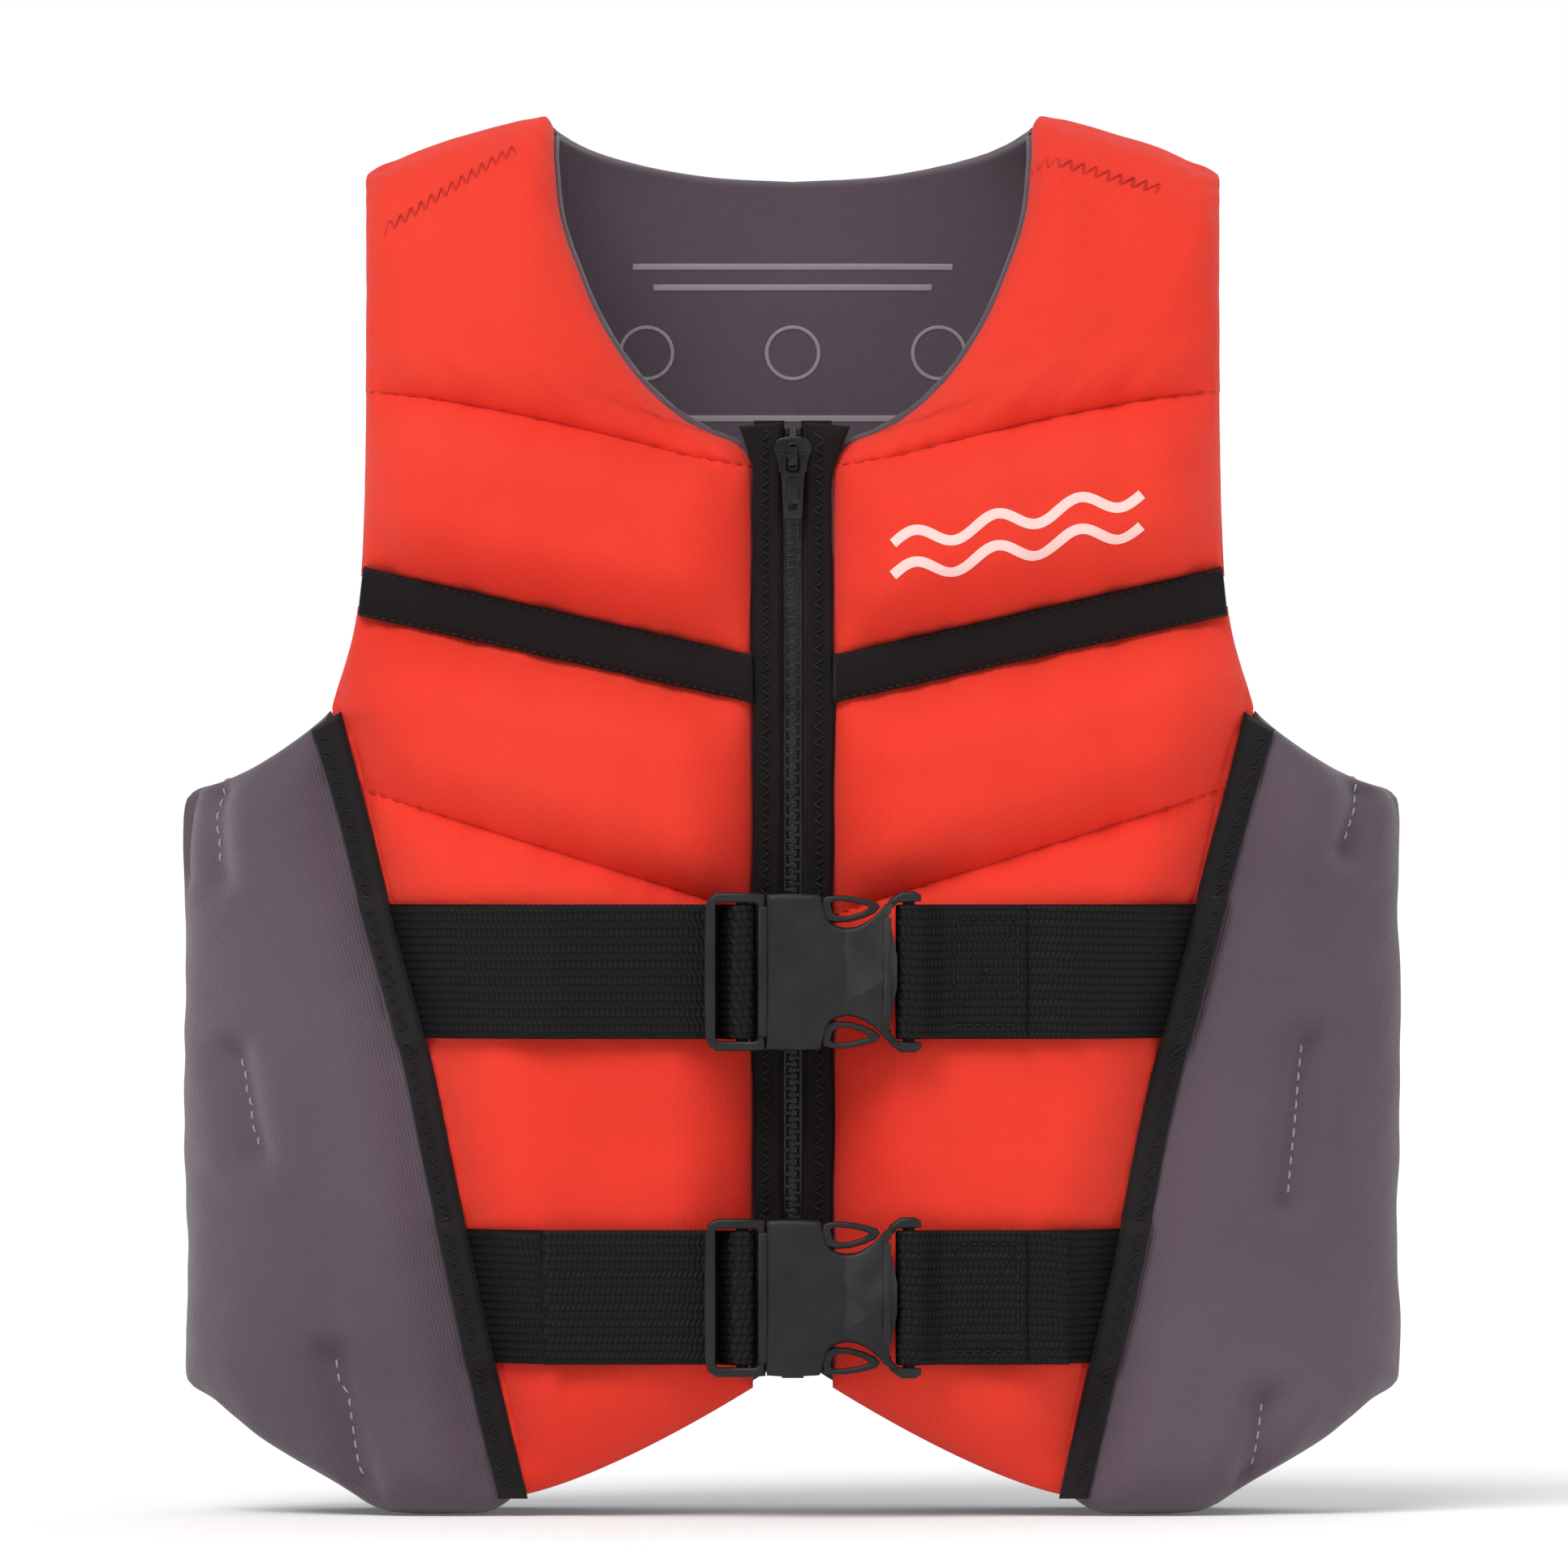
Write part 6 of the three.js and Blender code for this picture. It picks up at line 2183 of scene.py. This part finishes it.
    def _box_stitch(self) -> None:
        """Sews the end of the fixed webbing down in a box."""
        y = self.core.middle_y - self.crown_depth - 3.2 - self.thickness / 2 - 0.1
        z = self.strap.value
        left, right, half = 45.5, 63.5, 15
        corners = [(left, -half), (right, -half), (right, half), (left, half), (left, -half), (right, half),
                   (right, -half), (left, half)]
        parts = []
        for (x0, z0), (x1, z1) in zip(corners, corners[1:]):
            line = np.linspace((x0, y, z + z0), (x1, y, z + z1), 12)
            parts.append(Tube(0.3).running(Trace(line, np.tile((0.0, -1.0, 0.0), (12, 1))), 2.0, 2.8))
        sew(f"{self.strap.word}_box_stitch", parts, self.finishes.black_thread)


@dataclass
class Buckle:
    """One side-release buckle: socket, plug and the plug's two prongs."""

    core: Core
    finishes: Finishes
    strap: Strap
    half: float = 22.4

    @property
    def level(self) -> float:
        """Y that the buckle's levels are measured from."""
        return self.core.middle_y - 60.0

    def _up(self, points: Outline, sign: int = 1) -> Outline:
        """An outline, or with a sign of -1 its mirror image below, raised to the strap's height."""
        return shifted([(x, z * sign) for x, z in points[::sign]], 0, self.strap.value)

    def build(self) -> None:
        """Makes and dresses every piece of the buckle."""
        self._socket()
        self._plug()
        for name, sign in (("top", 1), ("bottom", -1)):
            self._prong(name, sign)

    def _socket(self) -> None:
        """Makes the socket: two faces, side strips, a tail with arms and an end bar."""
        z = self.strap.value
        waist = [(-7.4, 21.8), (-3, 22.1), (2, 22.0), (7.4, 21.8), (8.2, 20.6), (8.6, 17), (10.5, 13.9),
                 (12.5, 12.9), (15, 12.4), (17.8, 12.7), (20, 13.6), (22.3, 15.1), (24, 16.6), (26.2, 19.2),
                 (27.4, 19.4)]
        rear = self._up(mirrored([*waist, (27.8, 17), (26.6, 15), (27.2, 9), (28, 4)]))
        strip = [(-7.4, 20.0), (-7.4, 21.8), (2, 22.0), (7.6, 21.7), (8.0, 20.0)]
        arm = [(25.4, 17.0), (27.5, 20.6), (30.5, 22.7), (34.6, 22.7), (36.2, 21.6), (36.2, 19.9), (29.6, 19.5),
               (27.6, 17.4)]
        wall = self._up([(25.6, -15.5), (27.4, -15.2), (27.8, 15.2), (25.6, 15.5)])
        plates = [Plate((rear,), 4.3, 6.4, 0.6), Plate((wall,), 5.8, 12.8, 0.4)]
        for sign in (1, -1):
            plates.append(Plate((self._up(strip, sign),), 5.8, 12.8, 0.4))
            plates.append(Plate((self._up(arm, sign),), 4.4, 10.4, 0.9))
        plates.append(bar(31.0, 34.4, 5.6, 8.4, z - 20.4, z + 20.4, 1.2))
        parts = [plate.build(self.level) for plate in plates]
        parts.append(self._face(waist))
        word = self.strap.word
        piece = make(f"{word}_socket", *joined(parts), sharp=32)
        piece.data.materials.append(self.finishes.acetal)
        piece.data.materials.append(self.finishes.sandy_and_glare)
        # Faces of the facet at the socket's tail take the facet finish, whose lighter colour is partly a
        # painted reflection.
        limit = (self.level - 10.4) * MM
        for polygon in piece.data.polygons:
            middle = polygon.center
            facet = middle.x > 0.0148 and middle.y < limit and polygon.normal.y < -0.6
            above = middle.z > (z + 0.6 * (middle.x / MM - 28)) * MM - 0.001
            polygon.material_index = 1 if facet and above else 0
        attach(piece, BODY)
        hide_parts(f"{word}_buckle_socket")
        LOG.info("%s: %d faces", piece.name, len(piece.data.polygons))

    def _face(self, waist: Outline) -> Solid:
        """The front face, with its crease and the facet at its tail.

        Args:
            waist: Half the outline.

        Returns:
            Points, faces and places on the cloth.
        """
        waist = np.array(waist)
        across = stations(35.4, 0.9, Edge.ROLLED, Edge.ROLLED)
        up = stations(40, 1.0, Edge.ROLLED, Edge.ROLLED) * 2 - 1
        end = 29.4 - 2.4 * np.clip((np.abs(up) * 18 - 4) / 11, 0, 1) * np.clip((19 - np.abs(up) * 18) / 4, 0, 1)
        x = -7.4 + (end[None] + 7.4) * across[:, None]
        half = np.interp(np.minimum(x, 27.4), waist[:, 0], waist[:, 1])
        rise = half * up[None]
        points = np.stack([x, np.zeros_like(x), rise], -1)
        nearest = least(*Sheet(points).borders().values())
        crease = np.where(x < 12, 0.0, -((x - 12) / 16) ** 2 * 14)
        fall = np.abs(rise - crease) / 22
        level = 14.1 - 1.1 * fall - 0.9 * np.clip((x - 12) / 16, 0, 1) ** 1.5
        near = 1 - np.abs(rise - crease - 5) / (4 + 0.6 * np.abs(x - 12))
        level -= 1.3 * np.clip((x - 14) / 8, 0, 1) * np.clip(near, 0, 1)
        level = 12.0 + (level - 12.0) * roll(nearest, 1.5)
        z = rise + self.strap.value
        outer = np.stack([x, self.level - level, z], -1)
        inner = np.stack([x, np.full_like(x, self.level - 12.2), z], -1)
        inner[..., 1] = np.maximum(inner[..., 1], outer[..., 1] + 0.05)
        return Blanket(outer, inner, skip=1).build()

    def _plug(self) -> None:
        """Makes the plug: a ladder frame for the webbing, a base and a tongue."""
        z, half = self.strap.value, self.half
        frame = mirrored([(-25, 6), (-24.8, 17.6), (-23.9, 20.9), (-21.6, 22.3), (-14, 22.4), (-7.7, 22.0)])
        window = mirrored([(-21.8, 18.9), (-21.2, 19.6), (-10.6, 19.6), (-9.9, 18.9)])
        plates = [
            Plate((self._up(frame), self._up(window)), 4.3, 11.3, 0.8),
            bar(-16, -12.6, 5.6, 8.4, z - half + 2, z + half - 2, 1.2),
            bar(-9.8, -2.2, 6.7, 11.9, z - 18.4, z + 18.4, 0.6),
            bar(-3.2, 19, 6.7, 11.9, z - 4.5, z + 4.5, 0.9),
        ]
        for offset in (-12, -8, 8, 12):
            plates.append(bar(-7.6, -2.8, 11.6, 12.1, z + offset - 0.6, z + offset + 0.6, 0.2))
        word = self.strap.word
        dress(moulding(f"{word}_plug_frame", plates, self.level), self.finishes.acetal,
              [f"{word}_buckle_plug"], f"{word}_plug")

    def _prong(self, name: str, sign: int) -> None:
        """Makes one sprung prong with its looped ear.

        Args:
            name: Which of the two prongs.
            sign: 1 for the top one and -1 for the bottom one.
        """
        outline = [(-1.6, 15), (4, 14.7), (8.4, 14.4), (12.4, 13.9), (16, 14.1), (20.2, 15.2), (23.2, 16.6),
                   (24.6, 18.2), (23.8, 19.6), (21.4, 20.4), (18, 21.1), (14.4, 21.6), (10.4, 21.5),
                   (8.5, 20.9), (8.2, 18.4), (4, 18.0), (-1.6, 18)]
        hole = [(10.6, 19.3), (11.2, 16.8), (13, 15.7), (16, 15.8), (19.2, 16.8), (21.4, 17.9), (21.2, 18.5),
                (18, 19.4), (14.4, 19.9), (11.6, 20)]
        plate = Plate((self._up(outline, sign), self._up(hole, sign)), 6.7, 11.9, 0.65)
        word = self.strap.word
        dress(moulding(f"{word}_{name}_ear", [plate], self.level), self.finishes.acetal,
              [f"{word}_buckle_{name}_prong"], f"{word}_{name}_prong")


# ---------------------------------------------------------------- stage


@dataclass
class Studio:
    """The floor, the light and the camera."""

    distance: float = 6.0
    frame_width: float = 0.4424
    middle: tuple[float, float] = (-0.0025, 0.207)
    ambient: float = 0.48

    def build(self) -> None:
        """Sets the stage."""
        scene = bpy.context.scene
        scene.view_settings.view_transform = "Standard"
        self._world(scene)
        self._floor()
        self._lamp("key", (-0.5, -1.0, 1.2), 0.6, 1.9)
        self._lamp("fill", (1.5, -1.2, 0.5), 1.6, 0.45)
        self._lamp("rim", (0.5, 1.4, 1.0), 1.2, 0.55)
        lens = bpy.data.cameras.new("camera")
        lens.sensor_width = 36
        lens.lens = 36 * self.distance / self.frame_width
        lens.clip_end = 100
        camera = bpy.data.objects.new("camera", lens)
        camera.location = (self.middle[0], -self.distance - 0.06, self.middle[1])
        camera.rotation_euler = (math.pi / 2, 0, 0)
        scene.collection.objects.link(camera)
        scene.camera = camera

    def _world(self, scene: bpy.types.Scene) -> None:
        """Fills the surroundings with plain white light.

        Args:
            scene: The scene.
        """
        world = bpy.data.worlds.new("surroundings")
        world.use_nodes = True
        background = world.node_tree.nodes["Background"]
        background.inputs[0].default_value = (1, 1, 1, 1)
        path = world.node_tree.nodes.new("ShaderNodeLightPath")
        level = world.node_tree.nodes.new("ShaderNodeMath")
        level.operation = "MULTIPLY_ADD"
        level.inputs[1].default_value, level.inputs[2].default_value = 1 - self.ambient, self.ambient
        world.node_tree.links.new(path.outputs["Is Camera Ray"], level.inputs[0])
        world.node_tree.links.new(level.outputs[0], background.inputs[1])
        scene.world = world

    @staticmethod
    def _floor() -> None:
        """Lays a pale floor."""
        reach, level = 40, -0.0006
        corners = [(-reach, -reach, level), (reach, -reach, level),
                   (reach, reach, level), (-reach, reach, level)]
        mesh = bpy.data.meshes.new("floor")
        mesh.from_pydata(corners, [], [(0, 1, 2, 3)])
        floor = bpy.data.objects.new("floor", mesh)
        s = Shader("pale_floor")
        paper = s.noise(s.place("space"), 300, 2)
        tone = s.ramp(paper, (0.3, paint(250, 250, 250)), (0.7, paint(253, 253, 253)))
        floor.data.materials.append(s.finish(tone, s.bump(paper, 0.02), 0.9, Specular_IOR_Level=0.0,
                                             Emission_Color=(1, 1, 1, 1), Emission_Strength=0.06))
        bpy.context.scene.collection.objects.link(floor)

    @staticmethod
    def _lamp(name: str, toward: tuple[float, float, float], spread: float, power: float) -> None:
        """Hangs a broad soft lamp far away.

        Args:
            name: Its name.
            toward: The way to it from the vest.
            spread: How wide it looks, in radians.
            power: Its power.
        """
        light = bpy.data.lights.new(name, "SUN")
        light.angle, light.energy = spread, power
        lamp = bpy.data.objects.new(name, light)
        lamp.rotation_euler = Vector(toward).to_track_quat("Z", "Y").to_euler()
        bpy.context.scene.collection.objects.link(lamp)


def main() -> None:
    """Builds the vest round its frame."""
    logging.basicConfig(level=logging.INFO, format="%(message)s")
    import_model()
    low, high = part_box("left_zip_tape")
    middle_y = (low[1] + high[1]) / 2 / MM + TAPE_TO_MIDDLE
    core, pattern, finishes = Core(middle_y), Pattern(), Finishes()
    Studio().build()
    fronts = {side: FrontHalf(core, pattern, finishes, side) for side in Side}
    for side in Side:
        fronts[side].build()
        SidePanel(core, pattern, finishes, side).build()
    Back(core, pattern, finishes).build()
    ChestMark(fronts[Side.LEFT], finishes).build()
    Zip(core, finishes).build()
    for strap in Strap:
        StrapSet(core, pattern, finishes, strap).build()
        Buckle(core, finishes, strap).build()


if __name__ == "__main__":
    main()
